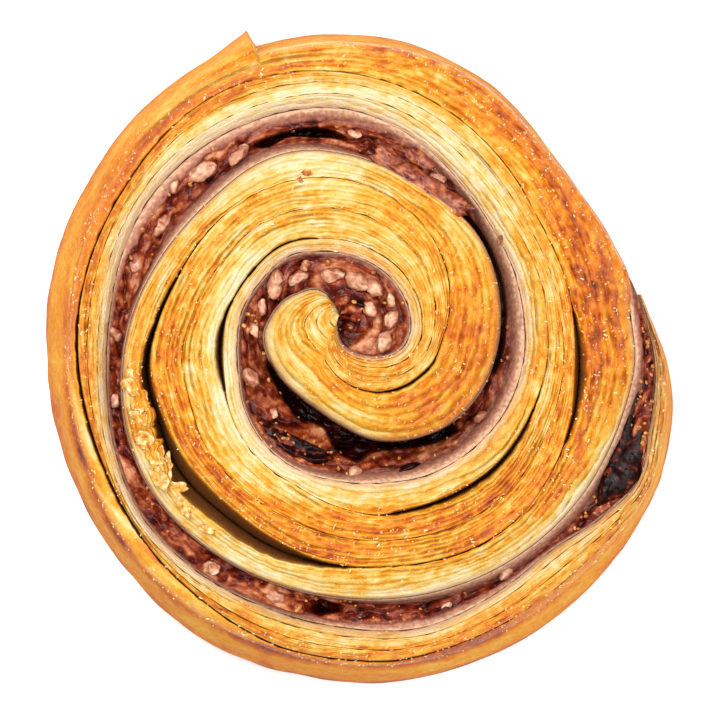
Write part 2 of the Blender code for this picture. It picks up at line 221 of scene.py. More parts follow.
# Pieces of fig: name, height of the top, thickness, then turn angle, inner and outer
# radius of the outline.
FIGS: Sequence[tuple[str, float, float, Table]] = (
    (
        "fig_piece_inner_long",
        23.4,
        3.6,
        (
            (229, 23.0, 23.8), (233, 22.4, 24.4), (240, 22.0, 25.2), (248, 22.4, 26.2),
            (256, 22.8, 26.6), (263, 23.6, 26.4), (268, 24.6, 25.6),
        ),
    ),
    (
        "fig_piece_inner_short",
        23.2,
        3.2,
        (
            (282, 29.0, 29.6), (285, 28.2, 30.4), (290, 27.8, 31.0), (295, 28.2, 31.0),
            (299, 29.2, 30.2),
        ),
    ),
    (
        "fig_piece_outer",
        23.0,
        4.6,
        (
            (683, 56.0, 56.8), (686, 54.4, 58.2), (691, 53.2, 59.8), (696, 52.9, 59.0),
            (701, 52.9, 57.4), (707, 53.0, 56.4), (711, 53.8, 55.2),
        ),
    ),
)

# Pieces of nut: turn angle, radius, length along the ribbon, width.
NUTS: Table = (
    (-30, 9.0, 4.0, 2.8), (-6, 9.2, 3.4, 2.4), (10, 5.4, 3.4, 2.4), (16, 9.4, 2.8, 2.0),
    (38, 7.6, 4.0, 2.8), (62, 6.6, 4.8, 3.0), (98, 7.0, 4.6, 2.8), (124, 10.6, 2.6, 1.8),
    (138, 9.7, 4.2, 2.4), (154, 12.4, 5.2, 3.0), (174, 13.6, 3.0, 2.0), (190, 15.2, 2.4, 1.8),
    (215, 19.2, 4.0, 2.8), (236, 20.6, 2.2, 1.6), (276, 27.6, 2.4, 1.6), (324, 30.6, 2.6, 1.6),
    (414, 29.6, 3.2, 1.6), (427, 29.2, 4.4, 2.2), (445, 31.8, 2.6, 1.4), (482, 33.2, 4.6, 2.4),
    (494, 34.8, 6.4, 2.8), (502, 36.6, 3.0, 1.8), (513, 34.8, 4.4, 1.9), (526, 36.8, 2.6, 1.6),
    (545, 39.4, 3.0, 1.8), (561, 42.0, 2.8, 1.5), (603, 49.6, 3.6, 2.4), (617, 50.4, 3.8, 2.4),
    (650, 54.4, 2.6, 1.5), (663, 53.8, 3.0, 1.7),
)


def curve(table: Table, at: np.ndarray, column: int = 1) -> np.ndarray:
    """Runs a smooth curve through one column of a table, level past its ends.

    Args:
        table: Rows that start with the place, in rising order.
        at: The places to read.
        column: The column to read.

    Returns:
        The values at those places.
    """
    rows = np.asarray(table, float)
    x, y = rows[:, 0], rows[:, column]
    slope = np.empty_like(y)
    slope[1:-1] = (y[2:] - y[:-2]) / (x[2:] - x[:-2])
    slope[0] = (y[1] - y[0]) / (x[1] - x[0])
    slope[-1] = (y[-1] - y[-2]) / (x[-1] - x[-2])
    at = np.clip(at, x[0], x[-1])
    left = np.clip(np.searchsorted(x, at, side="right") - 1, 0, len(x) - 2)
    span = x[left + 1] - x[left]
    t = (at - x[left]) / span
    return (
        (1 + 2 * t) * (1 - t) ** 2 * y[left]
        + t * (1 - t) ** 2 * span * slope[left]
        + t * t * (3 - 2 * t) * y[left + 1]
        + t * t * (t - 1) * span * slope[left + 1]
    )


def middle_of(table: Table, turn: np.ndarray) -> np.ndarray:
    """The mean of a table's inner and outer radius at each turn angle."""
    return (curve(table, turn, 1) + curve(table, turn, 2)) / 2


def smooth(low: float, high: float, at: np.ndarray) -> np.ndarray:
    """Eases from 0 at low to 1 at high."""
    t = np.clip((at - low) / (high - low), 0.0, 1.0)
    return t * t * (3 - 2 * t)


def grain(x: np.ndarray, y: np.ndarray, seed: int) -> np.ndarray:
    """Smooth random relief between -1 and 1, about one unit from hill to hill.

    Args:
        x: Places along the first axis.
        y: Places along the second axis.
        seed: Which relief.

    Returns:
        The height at each place.
    """
    table = np.random.default_rng(seed).uniform(-1.0, 1.0, (1024, 128))
    x, y = np.broadcast_arrays(x, y)
    column, row = np.floor(x).astype(int), np.floor(y).astype(int)
    fx, fy = x - column, y - row
    fx, fy = fx * fx * (3 - 2 * fx), fy * fy * (3 - 2 * fy)
    near = table[column % 1024, row % 128] * (1 - fx) + table[(column + 1) % 1024, row % 128] * fx
    row = row + 1
    far = table[column % 1024, row % 128] * (1 - fx) + table[(column + 1) % 1024, row % 128] * fx
    return near * (1 - fy) + far * fy


def lumps(x: np.ndarray, y: np.ndarray, seed: int) -> np.ndarray:
    """Rounded lumps one unit across: 1 on a lump's top and 0 in the creases between.

    Args:
        x: Places along the first axis.
        y: Places along the second axis.
        seed: Which lumps.

    Returns:
        The height at each place.
    """
    jitter = np.random.default_rng(seed).uniform(0.1, 0.9, (256, 256, 2))
    column, row = np.floor(x).astype(int), np.floor(y).astype(int)
    nearest = np.full(x.shape, 9.0)
    for dx in (-1, 0, 1):
        for dy in (-1, 0, 1):
            centre = jitter[(column + dx) % 256, (row + dy) % 256]
            away = (column + dx + centre[..., 0] - x) ** 2
            away += (row + dy + centre[..., 1] - y) ** 2
            nearest = np.minimum(nearest, away)
    return np.clip(1.0 - nearest / 0.55, 0.0, 1.0)


@dataclass(frozen=True)
class Coil:
    """The polar plan that every sheet of dough and the filling follow."""

    def inner(self, turn: np.ndarray) -> np.ndarray:
        """The arm's inner radius, against the filling of the turn before."""
        before = np.where(turn - 360 > FILLING[0][0], curve(FILLING, turn - 360, 2), 0.0)
        return np.maximum(before + SEAM, POLE_RADIUS)

    def tab(self, turn: np.ndarray) -> np.ndarray:
        """How far the loose end of the skin stands out."""
        past = turn - TAB_ANGLE
        return np.where(past >= 0, TAB_STEP * np.exp(-3 * np.abs(past) / TAB_LENGTH), 0.0)

    def outer(self, turn: np.ndarray) -> np.ndarray:
        """The arm's outer radius, against the filling or in the open, without the tab.

        Args:
            turn: The turn angles.

        Returns:
            The radius in millimetres at each.
        """
        inside = curve(FILLING, turn) - SEAM
        open_air = smooth(OUTER_FROM, OUTER_BY, turn)
        return inside + (curve(OUTLINE, turn % 360) - inside) * open_air

    def middle(self, turn: np.ndarray) -> np.ndarray:
        """The arm's mean radius."""
        return (self.inner(turn) + self.outer(turn)) / 2

    def shoulder(self, turn: np.ndarray) -> np.ndarray:
        """The outer edge of the arm's top, inside the wall's lean.

        Args:
            turn: The turn angles.

        Returns:
            The radius in millimetres at each.
        """
        inner, outer = self.inner(turn), self.outer(turn)
        lean = np.where(turn > OUTER_FROM, curve(LEAN, turn), 0.0)
        return outer - np.minimum(lean, 0.35 * (outer - inner))

    def split(self, table: Table, turn: np.ndarray) -> tuple[np.ndarray, ...]:
        """Places a split. Past its table it keeps its share of the arm.

        Args:
            table: INNER_SPLIT or OUTER_SPLIT.
            turn: The turn angles.

        Returns:
            Its radius, width and depth at each angle.
        """
        nearest = np.clip(turn, table[0][0], table[-1][0])
        near_inner, near_shoulder = self.inner(nearest), self.shoulder(nearest)
        share = (curve(table, nearest) - near_inner) / (near_shoulder - near_inner)
        inner, shoulder = self.inner(turn), self.shoulder(turn)
        top_width = shoulder - inner
        radius = inner + top_width * share
        inside = nearest == turn
        width = np.where(inside, curve(table, turn, 2), PLAIN_SPLIT[0])
        depth = np.where(inside, curve(table, turn, 3), PLAIN_SPLIT[1])
        width = np.minimum(np.maximum(width, 0.25), 0.3 * top_width)
        room = 0.12 * top_width + width / 2
        radius = np.clip(radius, inner + room, shoulder - room)
        return radius, width, np.maximum(depth, PLAIN_SPLIT[1])

    def height(self, turn: np.ndarray, share: np.ndarray) -> np.ndarray:
        """The arm's plain top, before any leaf is raised.

        Args:
            turn: The turn angles.
            share: How far across the arm, from 0 inside to 1 outside.

        Returns:
            The height in millimetres.
        """
        low, high = CREST_SPAN
        width = self.outer(turn) - self.inner(turn)
        inside = np.clip((low - share) / low, 0.0, None) ** 2
        outside = np.clip((share - high) / (1 - high), 0.0, None) ** 2
        drop = INNER_DROP * inside + OUTER_DROP * outside
        return curve(CREST, turn) - drop * np.minimum(width / 12.0, 1.0)

    def browning(self, turn: np.ndarray, share: np.ndarray) -> np.ndarray:
        """Reads BROWNING at a turn angle and a share of the way across the arm.

        Args:
            turn: The turn angles.
            share: How far across the arm, from 0 inside to 1 outside.

        Returns:
            The browning, from 0 to 1.
        """
        places = len(BROWNING[0]) - 1
        at = np.clip(share, 0.0, 1.0) * (places - 1)
        columns = np.stack([curve(BROWNING, turn, 1 + i) for i in range(places)])
        left = np.clip(np.floor(at).astype(int), 0, places - 2)
        t = at - left
        pick = np.take_along_axis(columns, left[None], 0)[0]
        follow = np.take_along_axis(columns, left[None] + 1, 0)[0]
        return pick * (1 - t) + follow * t


def stations(first: float, last: float, radius: Callable, step: float) -> np.ndarray:
    """Turn angles that are the same distance apart along a ribbon.

    Args:
        first: The turn angle of the ribbon's start.
        last: The turn angle of its end.
        radius: Gives the ribbon's mean radius at a turn angle.
        step: The distance in millimetres.

    Returns:
        The turn angles.
    """
    fine = np.arange(first, last, 0.25)
    along = np.concatenate([[0.0], np.cumsum(np.radians(0.25) * np.maximum(radius(fine), 3.0))])
    fine = np.append(fine, last)[: len(along)]
    count = int(along[-1] / step)
    return np.interp(np.linspace(0, along[-1], count), along, fine)


# --------------------------------------------------------------------------- mesh tools


def placed(turn: np.ndarray, radius: np.ndarray, height: np.ndarray) -> np.ndarray:
    """Turns polar places in millimetres into points in metres.

    Args:
        turn: Turn angles in degrees.
        radius: Radii in millimetres.
        height: Heights in millimetres.

    Returns:
        The points, with x, y and z last.
    """
    angle = np.radians(turn)
    points = np.stack(
        [
            POLE[0] + radius * np.cos(angle),
            POLE[1] + radius * np.sin(angle),
            np.broadcast_to(height, angle.shape),
        ],
        -1,
    )
    return points * MM


def ribbon_map(rings: int, around: int, strips: int = 8) -> np.ndarray:
    """Lays a ribbon's faces out as strips side by side, for its surface maps.

    Args:
        rings: How many cross-sections the ribbon has.
        around: How many points each one has.
        strips: How many strips its length is cut into.

    Returns:
        The map coordinates of each corner of each side face.
    """
    ring, column = np.meshgrid(np.arange(rings - 1), np.arange(around), indexing="ij")
    length = -(-(rings - 1) // strips)
    strip = ring // length
    corners = []
    for down, across in ((0, 0), (0, 1), (1, 1), (1, 0)):
        u = (strip + 0.03 + 0.94 * (column + across) / around) / strips
        v = 0.01 + 0.94 * (ring + down - strip * length) / length
        corners.append(np.stack([u, v], -1))
    return np.stack(corners, 2).reshape(-1, 2)


def shown(name: str, data: bpy.types.ID) -> bpy.types.Object:
    """Puts an object in the scene, at the origin.

    Args:
        name: The object's name.
        data: Its mesh, lamp or camera.

    Returns:
        The object.
    """
    made = bpy.data.objects.new(name, data)
    bpy.context.scene.collection.objects.link(made)
    return made


def mesh_of(
    name: str,
    points: np.ndarray,
    corners: np.ndarray,
    starts: np.ndarray,
    layers: dict[str, np.ndarray],
) -> bpy.types.Mesh:
    """Makes a mesh from arrays.

    Args:
        name: The mesh's name.
        points: The vertices.
        corners: The vertex at each corner, face after face.
        starts: Each face's first corner.
        layers: Attribute name to a number for each point.

    Returns:
        The mesh.
    """
    mesh = bpy.data.meshes.new(name)
    mesh.vertices.add(points.size // 3)
    mesh.vertices.foreach_set("co", points.astype(np.float32).reshape(-1))
    mesh.loops.add(corners.size)
    mesh.loops.foreach_set("vertex_index", corners.astype(np.int32).reshape(-1))
    mesh.polygons.add(len(starts))
    mesh.polygons.foreach_set("loop_start", starts.astype(np.int32))
    mesh.update(calc_edges=True)
    for key, values in layers.items():
        layer = mesh.attributes.new(key, "FLOAT", "POINT")
        layer.data.foreach_set("value", np.asarray(values, np.float32).reshape(-1))
    return mesh


def ribbon(name: str, points: np.ndarray, layers: dict[str, np.ndarray]) -> bpy.types.Object:
    """Makes a closed ribbon from rings of points, with its attributes and its map.

    Args:
        name: The piece's name.
        points: Rings by points around by three, each ring anticlockwise seen from its
            start.
        layers: Attribute name to a number for each point.

    Returns:
        The object.
    """
    rings, around = points.shape[:2]
    ring, column = np.meshgrid(np.arange(rings - 1), np.arange(around), indexing="ij")
    here, beside = ring * around + column, ring * around + (column + 1) % around
    sides = np.stack([here, beside, beside + around, here + around], -1)
    side_corners = sides.size
    first = np.arange(around)[::-1]
    last = (rings - 1) * around + np.arange(around)
    corners = np.concatenate([sides.ravel(), first, last])
    ends = [side_corners, side_corners + around]
    starts = np.concatenate([np.arange(0, side_corners, 4), ends])
    mesh = mesh_of(name, points, corners, starts, layers)
    uv = np.zeros((len(corners), 2), np.float32)
    uv[:side_corners] = ribbon_map(rings, around)
    turn = np.linspace(0, 2 * np.pi, around, endpoint=False)
    for start, shift in zip(ends, (0.03, 0.53)):
        uv[start : start + around, 0] = shift + 0.01 * np.cos(turn)
        uv[start : start + around, 1] = 0.98 + 0.01 * np.sin(turn)
    mesh.uv_layers.new(name="OFBake").data.foreach_set("uv", uv.reshape(-1))
    mesh.shade_smooth()
    return shown(name, mesh)


def surface(name: str, patches: Sequence[tuple[np.ndarray, np.ndarray]]) -> bpy.types.Object:
    """Joins open grids of points into one helper that toppings are strewn on.

    Args:
        name: The helper's name.
        patches: Grids of points, each with a density from 0 to 1 for each point.

    Returns:
        The object.
    """
    vertices, faces, thick, start = [], [], [], 0
    for points, density in patches:
        rows, columns = points.shape[:2]
        row, column = np.meshgrid(np.arange(rows - 1), np.arange(columns - 1), indexing="ij")
        corner = start + row * columns + column
        square = np.stack([corner, corner + columns, corner + columns + 1, corner + 1], -1)
        faces.append(square.reshape(-1, 4))
        vertices.append(points.reshape(-1, 3))
        thick.append(density.reshape(-1))
        start += rows * columns
    quads = np.concatenate(faces)
    layers = {"thick": np.concatenate(thick)}
    starts = np.arange(len(quads)) * 4
    return shown(name, mesh_of(name, np.concatenate(vertices), quads, starts, layers))


# ------------------------------------------------------------------------------ finishes


def linear(red: int, green: int, blue: int) -> tuple[float, float, float, float]:
    """Turns a colour out of 255, as it looks when lit, into the renderer's own numbers.

    Args:
        red: Red out of 255.
        green: Green out of 255.
        blue: Blue out of 255.

    Returns:
        Red, green, blue and an opaque alpha.
    """
    shares = (part / 255 for part in (red, green, blue))
    done = [s / 12.92 if s <= 0.04045 else ((s + 0.055) / 1.055) ** 2.4 for s in shares]
    return (done[0] / LIT, done[1] / LIT, done[2] / LIT, 1.0)


Ramp = Sequence[tuple[float, tuple[int, int, int]]]


@dataclass
class Shader:
    """A material under construction, with short ways to add and join its nodes."""

    name: str
    material: bpy.types.Material = field(init=False)

    def __post_init__(self) -> None:
        """Makes the material and finds its Principled shader."""
        self.material = bpy.data.materials.new(self.name)
        self.material.use_nodes = True
        self.nodes = self.material.node_tree.nodes
        self.base = self.nodes["Principled BSDF"]
        self.place = self.nodes.new("ShaderNodeTexCoord").outputs["Object"]

    def join(self, source: bpy.types.NodeSocket, target: bpy.types.NodeSocket) -> None:
        """Links two sockets."""
        self.material.node_tree.links.new(source, target)

    def noise(self, size: float, detail: float = 2.0) -> bpy.types.NodeSocket:
        """Noise with hills this many millimetres apart.

        Args:
            size: The distance from hill to hill.
            detail: How many finer layers it has.

        Returns:
            The noise, around 0.5.
        """
        node = self.nodes.new("ShaderNodeTexNoise")
        node.inputs["Scale"].default_value = 1 / (size * MM)
        node.inputs["Detail"].default_value = detail
        self.join(self.place, node.inputs["Vector"])
        return node.outputs["Fac"]

    def attribute(self, key: str) -> bpy.types.NodeSocket:
        """One of the piece's own numbers.

        Args:
            key: The attribute's name.

        Returns:
            Its value.
        """
        node = self.nodes.new("ShaderNodeAttribute")
        node.attribute_name = key
        return node.outputs["Fac"]

    def upright(self) -> bpy.types.NodeSocket:
        """How far the surface faces up, 1 on a level top and 0 on a wall.

        Returns:
            The upward part of the surface's normal.
        """
        node = self.nodes.new("ShaderNodeSeparateXYZ")
        self.join(self.nodes.new("ShaderNodeNewGeometry").outputs["Normal"], node.inputs[0])
        return node.outputs["Z"]

    def maths(self, kind: str, *values: float | bpy.types.NodeSocket) -> bpy.types.NodeSocket:
        """A Math node on numbers or sockets.

        Args:
            kind: The node's operation.
            *values: What it works on.

        Returns:
            The result.
        """
        node = self.nodes.new("ShaderNodeMath")
        node.operation = kind
        for i, value in enumerate(values):
            if isinstance(value, (int, float)):
                node.inputs[i].default_value = value
            else:
                self.join(value, node.inputs[i])
        return node.outputs[0]

    def ramp(self, at: bpy.types.NodeSocket, colours: Ramp) -> bpy.types.NodeSocket:
        """A colour that runs through these colours as at goes from 0 to 1.

        Args:
            at: The place on the ramp.
            colours: Positions with their colours.

        Returns:
            The colour.
        """
        node = self.nodes.new("ShaderNodeValToRGB")
        stops = node.color_ramp.elements
        while len(stops) < len(colours):
            stops.new(0.5)
        for stop, (position, colour) in zip(stops, colours):
            stop.position = position
            stop.color = linear(*colour)
        self.join(at, node.inputs["Fac"])
        return node.outputs["Color"]

    def mixed(
        self,
        share: bpy.types.NodeSocket,
        first: bpy.types.NodeSocket,
        second: tuple[float, ...] | bpy.types.NodeSocket,
    ) -> bpy.types.NodeSocket:
        """Mixes two colours.

        Args:
            share: How much of the second.
            first: The first colour.
            second: The second colour, as a value or a socket.

        Returns:
            The mixed colour.
        """
        node = self.nodes.new("ShaderNodeMix")
        node.data_type = "RGBA"
        self.join(share, node.inputs["Factor"])
        self.join(first, node.inputs[6])
        if isinstance(second, tuple):
            node.inputs[7].default_value = second
        else:
            self.join(second, node.inputs[7])
        return node.outputs[2]

    def bump(self, height: bpy.types.NodeSocket, distance: float) -> None:
        """Roughens the surface by this many millimetres.

        Args:
            height: The height, from 0 to 1.
            distance: The depth of the relief.
        """
        node = self.nodes.new("ShaderNodeBump")
        node.inputs["Distance"].default_value = distance * MM
        node.inputs["Strength"].default_value = 1.0
        self.join(height, node.inputs["Height"])
        self.join(node.outputs["Normal"], self.base.inputs["Normal"])

    def finish(self, colour: bpy.types.NodeSocket, roughness: bpy.types.NodeSocket) -> None:
        """Joins the colour and the roughness to the shader."""
        self.join(colour, self.base.inputs["Base Color"])
        self.join(roughness, self.base.inputs["Roughness"])

    def spread(self, at: bpy.types.NodeSocket, low: float, high: float) -> bpy.types.NodeSocket:
        """Stretches a noise's middle over low to high.

        Args:
            at: The noise.
            low: What its low part becomes.
            high: What its high part becomes.

        Returns:
            The stretched value.
        """
        node = self.nodes.new("ShaderNodeMapRange")
        node.inputs["From Min"].default_value = 0.32
        node.inputs["From Max"].default_value = 0.68
        node.inputs["To Min"].default_value = low
        node.inputs["To Max"].default_value = high
        self.join(at, node.inputs["Value"])
        return node.outputs["Result"]


@dataclass(frozen=True)
class BakedDough:
    """Laminated dough, cream where it was covered and brown where the oven reached it."""

    browns: Ramp = (
        (0.00, (255, 232, 184)),
        (0.14, (252, 216, 140)),
        (0.28, (250, 196, 88)),
        (0.42, (247, 168, 34)),
        (0.56, (239, 142, 16)),
        (0.70, (220, 112, 14)),
        (0.85, (182, 80, 12)),
        (1.00, (116, 50, 12)),
    )
    # the colour of the painted shade in the grooves, the splits and the skin's crease
    crevice_shade: tuple[int, int, int] = (138, 92, 52)
    stain: tuple[int, int, int] = (222, 166, 134)
    blisters: float = 0.9
    pores: float = 0.22

    def material(self) -> bpy.types.Material:
        """Builds the material.

        Returns:
            The material.
        """
        make = Shader("baked_dough")
        patches = make.spread(make.noise(self.blisters, 3.0), -0.07, 0.07)
        clouds = make.spread(make.noise(3.0, 3.0), -0.06, 0.06)
        shade = make.maths("ADD", make.attribute("bake"), make.maths("ADD", patches, clouds))
        colour = make.ramp(shade, self.browns)
        colour = make.mixed(make.attribute("stained"), colour, linear(*self.stain))
        # painted shade: the crevice colour mixed in along the grooves, the splits and the crease
        colour = make.mixed(make.attribute("crevice_shade"), colour, linear(*self.crevice_shade))
        make.base.inputs["Specular IOR Level"].default_value = 0.25
        gloss = make.spread(make.noise(1.2, 3.0), 0.2, 0.55)
        make.finish(colour, make.maths("MULTIPLY_ADD", make.attribute("matt"), 0.5, gloss))
        make.bump(make.noise(self.pores * 2, 4.0), 0.2)
        return make.material


@dataclass(frozen=True)
class FruitFilling:
    """Dark glossy fruit paste, and the stained dough that it has soaked into."""

    pastes: Ramp = (
        (0.00, (36, 2, 2)),
        (0.30, (92, 20, 8)),
        (0.55, (138, 48, 20)),
        (0.78, (184, 96, 54)),
        (1.00, (224, 150, 106)),
    )
    soaked: Ramp = (
        (0.00, (128, 66, 54)),
        (0.40, (172, 108, 88)),
        (0.80, (214, 154, 124)),
        (1.00, (240, 196, 158)),
    )

    def material(self) -> bpy.types.Material:
        """Builds the material.

        Returns:
            The material.
        """
        make = Shader("fruit_filling")
        wander = make.spread(make.noise(1.4, 4.0), -0.24, 0.24)
        paste = make.ramp(make.maths("ADD", make.attribute("pulp"), wander), self.pastes)
        mottle = make.spread(make.noise(0.7, 3.0), -0.2, 0.2)
        crumb = make.ramp(make.maths("ADD", make.attribute("pulp"), mottle), self.soaked)
        colour = make.mixed(make.attribute("doughy"), paste, crumb)
        gloss = make.spread(make.noise(1.1, 2.0), 0.14, 0.36)
        rough = make.maths("MULTIPLY_ADD", make.attribute("doughy"), 0.45, gloss)
        make.base.inputs["Specular IOR Level"].default_value = 0.22
        make.finish(colour, rough)
        make.bump(make.noise(0.5, 3.0), 0.12)
        return make.material


@dataclass(frozen=True)
class DriedFruit:
    """A hard, slightly glossy finish mottled through a few colours, jammy down its sides."""

    name: str
    colours: Ramp
    mottle: float
    gloss: tuple[float, float]
    relief: float
    shine: float = 0.5
    jam: tuple[int, int, int] | None = None

    def material(self) -> bpy.types.Material:
        """Builds the material.

        Returns:
            The material.
        """
        make = Shader(self.name)
        make.base.inputs["Specular IOR Level"].default_value = self.shine
        colour = make.ramp(make.spread(make.noise(self.mottle, 3.0), 0.0, 1.0), self.colours)
        if self.jam:
            sides = make.maths("SUBTRACT", 0.95, make.upright())
            streaks = make.spread(make.noise(1.1, 3.0), -0.3, 0.3)
            smeared = make.maths("ADD", make.maths("MULTIPLY", sides, 1.5), streaks)
            colour = make.mixed(make.maths("MAXIMUM", smeared, 0.0), colour, linear(*self.jam))
        make.finish(colour, make.spread(make.noise(self.mottle * 2), *self.gloss))
        make.bump(make.noise(self.mottle * 0.6, 3.0), self.relief)
        return make.material


FIG_SKIN = DriedFruit(
    "fig_skin",
    ((0.0, (16, 3, 4)), (0.6, (40, 12, 10)), (0.85, (92, 30, 18)), (1.0, (150, 60, 34))),
    mottle=1.3,
    gloss=(0.16, 0.34),
    relief=0.16,
    shine=0.1,
)
NUT_FLESH = DriedFruit(
    "nut_flesh",
    ((0.0, (176, 98, 72)), (0.45, (222, 152, 116)), (1.0, (250, 204, 160))),
    mottle=1.6,
    gloss=(0.25, 0.45),
    relief=0.08,
    jam=(136, 58, 40),
)
FIG_SEED = DriedFruit(
    "fig_seed",
    ((0.0, (150, 78, 26)), (0.5, (206, 128, 50)), (1.0, (238, 178, 96))),
    mottle=0.8,
    gloss=(0.25, 0.4),
    relief=0.03,
)
# Pale flakes, partly real sugar glaze and partly painted highlight standing in for the crust's glints.
SUGAR_AND_GLINTS = DriedFruit(
    "sugar_glaze_and_glints",
    ((0.0, (250, 206, 110)), (1.0, (255, 236, 184))),
    mottle=0.5,
    gloss=(0.12, 0.3),
    relief=0.02,
)

JAM_SKIN = DriedFruit(
    "jam_skin",
    ((0.0, (96, 22, 10)), (0.5, (150, 62, 30)), (1.0, (206, 120, 66))),
    mottle=1.4,
    gloss=(0.16, 0.36),
    relief=0.12,
    shine=0.3,
)
GOLDEN_FLAKE = DriedFruit(
    "golden_flake",
    ((0.0, (206, 110, 20)), (0.45, (244, 180, 70)), (1.0, (255, 238, 180))),
    mottle=1.0,
    gloss=(0.16, 0.36),
    relief=0.05,
)
BURNT_CRUMB = DriedFruit(
    "burnt_crumb",
    ((0.0, (84, 32, 12)), (0.5, (170, 84, 22)), (1.0, (220, 130, 40))),
    mottle=1.2,
    gloss=(0.3, 0.5),
    relief=0.05,
)

# ----------------------------------------------------------------------------- the dough


class Leaf(Enum):
    """The sheets of dough that run side by side, from the arm's inner edge outwards."""

    INNER = 0
    HEART = 1
    BACK = 2
    OUTER = 3


@dataclass
class DoughSheet:
    """One sheet of the arm: a closed ribbon with a leafy top."""

    leaf: Leaf
    coil: Coil
    leaves: int
    step: float = 0.46
    top_columns: int = 50
    wall_columns: int = 8
    heart_share: float = 0.5
    rounding: float = 0.65
    strewn: tuple[np.ndarray, np.ndarray] | None = None

    def edges(self, turn: np.ndarray) -> tuple[np.ndarray, ...]:
        """Finds the sheet's two edges.

        Args:
            turn: The turn angles.

        Returns:
            The inner and outer radius at the top, the same lower down where the splits
            have closed, and the depths of the inner and the outer split.
        """
        coil = self.coil
        near, near_width, near_depth = coil.split(INNER_SPLIT, turn)
        far, far_width, far_depth = coil.split(OUTER_SPLIT, turn)
        inner, shoulder = coil.inner(turn), coil.shoulder(turn)
        near = np.minimum(near, far - (near_width + far_width) / 2 - LEAST_LAYER * (shoulder - inner))
        middle = near + (far - near) * self.heart_share
        none = np.zeros_like(turn)
        lines = (
            (inner, none, none + 0.5),
            (near, near_width - 0.2 * (near_width < 0.5), near_depth),
            (middle, none + 0.05, none + 0.1),
            (far, far_width - 0.2 * (far_width < 0.5), far_depth),
            (shoulder + coil.tab(turn) * 0.8, none, none + 3.0),
        )
        low, high = lines[self.leaf.value], lines[self.leaf.value + 1]
        close = 0.03
        in_open = self.leaf is Leaf.OUTER
        return (
            low[0] + low[1] / 2,
            high[0] - high[1] / 2,
            low[0] + close,
            coil.outer(turn) + coil.tab(turn) if in_open else high[0] - close,
            low[2],
            high[2],
        )

    def leaf_relief(self, along: np.ndarray, across: np.ndarray, width: np.ndarray) -> tuple:
        """Raises the thin leaves that the sheet is laminated from.

        Args:
            along: Distance along the sheet.
            across: Share of the way across it.
            width: Its width.

        Returns:
            The relief, the painted shade of the grooves, from 0 to 1, and how much
            browner each leaf is than its neighbours, with painted shade towards its grooves.
        """
        seed = 10 * self.leaf.value
        spacing = np.clip(width / self.leaves, 0.25, 1.6)
        wander = 0.6 * grain(along / 19, across * 1.6 + 7, seed + 1)
        wander += 0.26 * grain(along / 5.5, across * 3.1, seed + 2)
        wander += 0.1 * grain(along / 1.3, across * self.leaves * 1.3, seed + 10)
        at = across * self.leaves + wander
        own = np.floor(at)
        f = at - own
        line = np.round(at)
        away = np.abs(at - line) * spacing
        opening = 0.18 + 0.6 * grain(along / 11, line * 7.3 + 0.5, seed + 3)
        opening = np.clip(opening + 0.45 * grain(along / 2.1, line * 5.1 + 0.5, seed + 4), 0, 1)
        groove = np.exp(-((away / (0.07 + 0.1 * opening)) ** 2))
        deep = 0.04 + 0.7 * opening**1.8
        crown = 0.42 * spacing * (1 - np.abs(2 * f - 1) ** 2.6)
        raised = 0.5 * grain(along / 15, own * 3.7 + 0.5, seed + 5)
        raised += 0.26 * grain(along / 4.6, own * 4.3 + 0.5, seed + 8)
        tilt = 0.3 * (f - 0.5) * grain(along / 24, own * 2.9 + 0.5, seed + 6)
        fine = 0.05 * grain(along / 2.2, across * width / 0.3, seed + 7)
        relief = (crown + raised + tilt - deep * groove) * np.clip(spacing, 0.3, 1.0) + fine
        shade = 0.1 * grain(along / 9, own * 6.1 + 0.5, seed + 9)
        # painted shade and highlight: each leaf browner at its sides by the grooves and paler on its
        # crown
        shade = shade + 0.1 * (np.abs(2 * f - 1) ** 2.4 - 0.35)
        shade = shade + 0.12 * grain(along / 2.2, across * width / 0.9 + 3, seed + 11)
        # the second value is painted shade in the grooves, stronger where they open
        return relief, groove * (0.2 + 0.8 * opening), shade

    def blisters(self, along: np.ndarray, radius: np.ndarray, bake: np.ndarray) -> np.ndarray:
        """The small bubbles of the crust, strongest where it is brown.

        Args:
            along: Distance along the sheet.
            radius: The top's points.
            bake: The browning.

        Returns:
            The height of the bubbles.
        """
        rough = np.abs(grain(along / 1.8, radius / 1.0, 91)) * 0.46
        rough += grain(along / 1.0 + radius / 2.1, radius / 0.55, 92) * 0.18
        return (rough - 0.12) * (0.25 + 0.9 * np.clip(bake * 1.7, 0, 1))

    def ragged(self, turn: np.ndarray, along: np.ndarray, width: np.ndarray) -> np.ndarray:
        """How far the sheet's torn inner edge wanders.

        Args:
            turn: The turn angles.
            along: Distance along the sheet.
            width: The sheet's width.

        Returns:
            The distance, away from the coil's centre where it is positive.
        """
        torn = 0.16 * grain(along / 1.6, 0.5, 31 + self.leaf.value)
        torn += 0.1 * grain(along / 0.7, 3.5, 41 + self.leaf.value)
        if self.leaf is Leaf.OUTER:
            flaky = smooth(*FLAKY[:2], turn) * (1 - smooth(*FLAKY[2:], turn))
            torn = torn - flaky * (0.3 + 1.9 * np.abs(grain(along / 1.2, 8.5, 55)))
        return torn * np.clip(width, 0.2, 1.0)

    def crusting(self, turn: np.ndarray, bake: np.ndarray) -> np.ndarray:
        """How far the crust has closed over the leaves, from 0 to 1.

        Args:
            turn: The turn angles.
            bake: The browning.

        Returns:
            The closed share at each point.
        """
        if self.leaf is not Leaf.OUTER:
            return np.zeros_like(bake)
        baked = 0.5 * smooth(0.62, 0.8, bake) * (turn > CRUST_FROM)
        return np.maximum(baked, smooth(SKIN_FROM, SKIN_BY, turn))

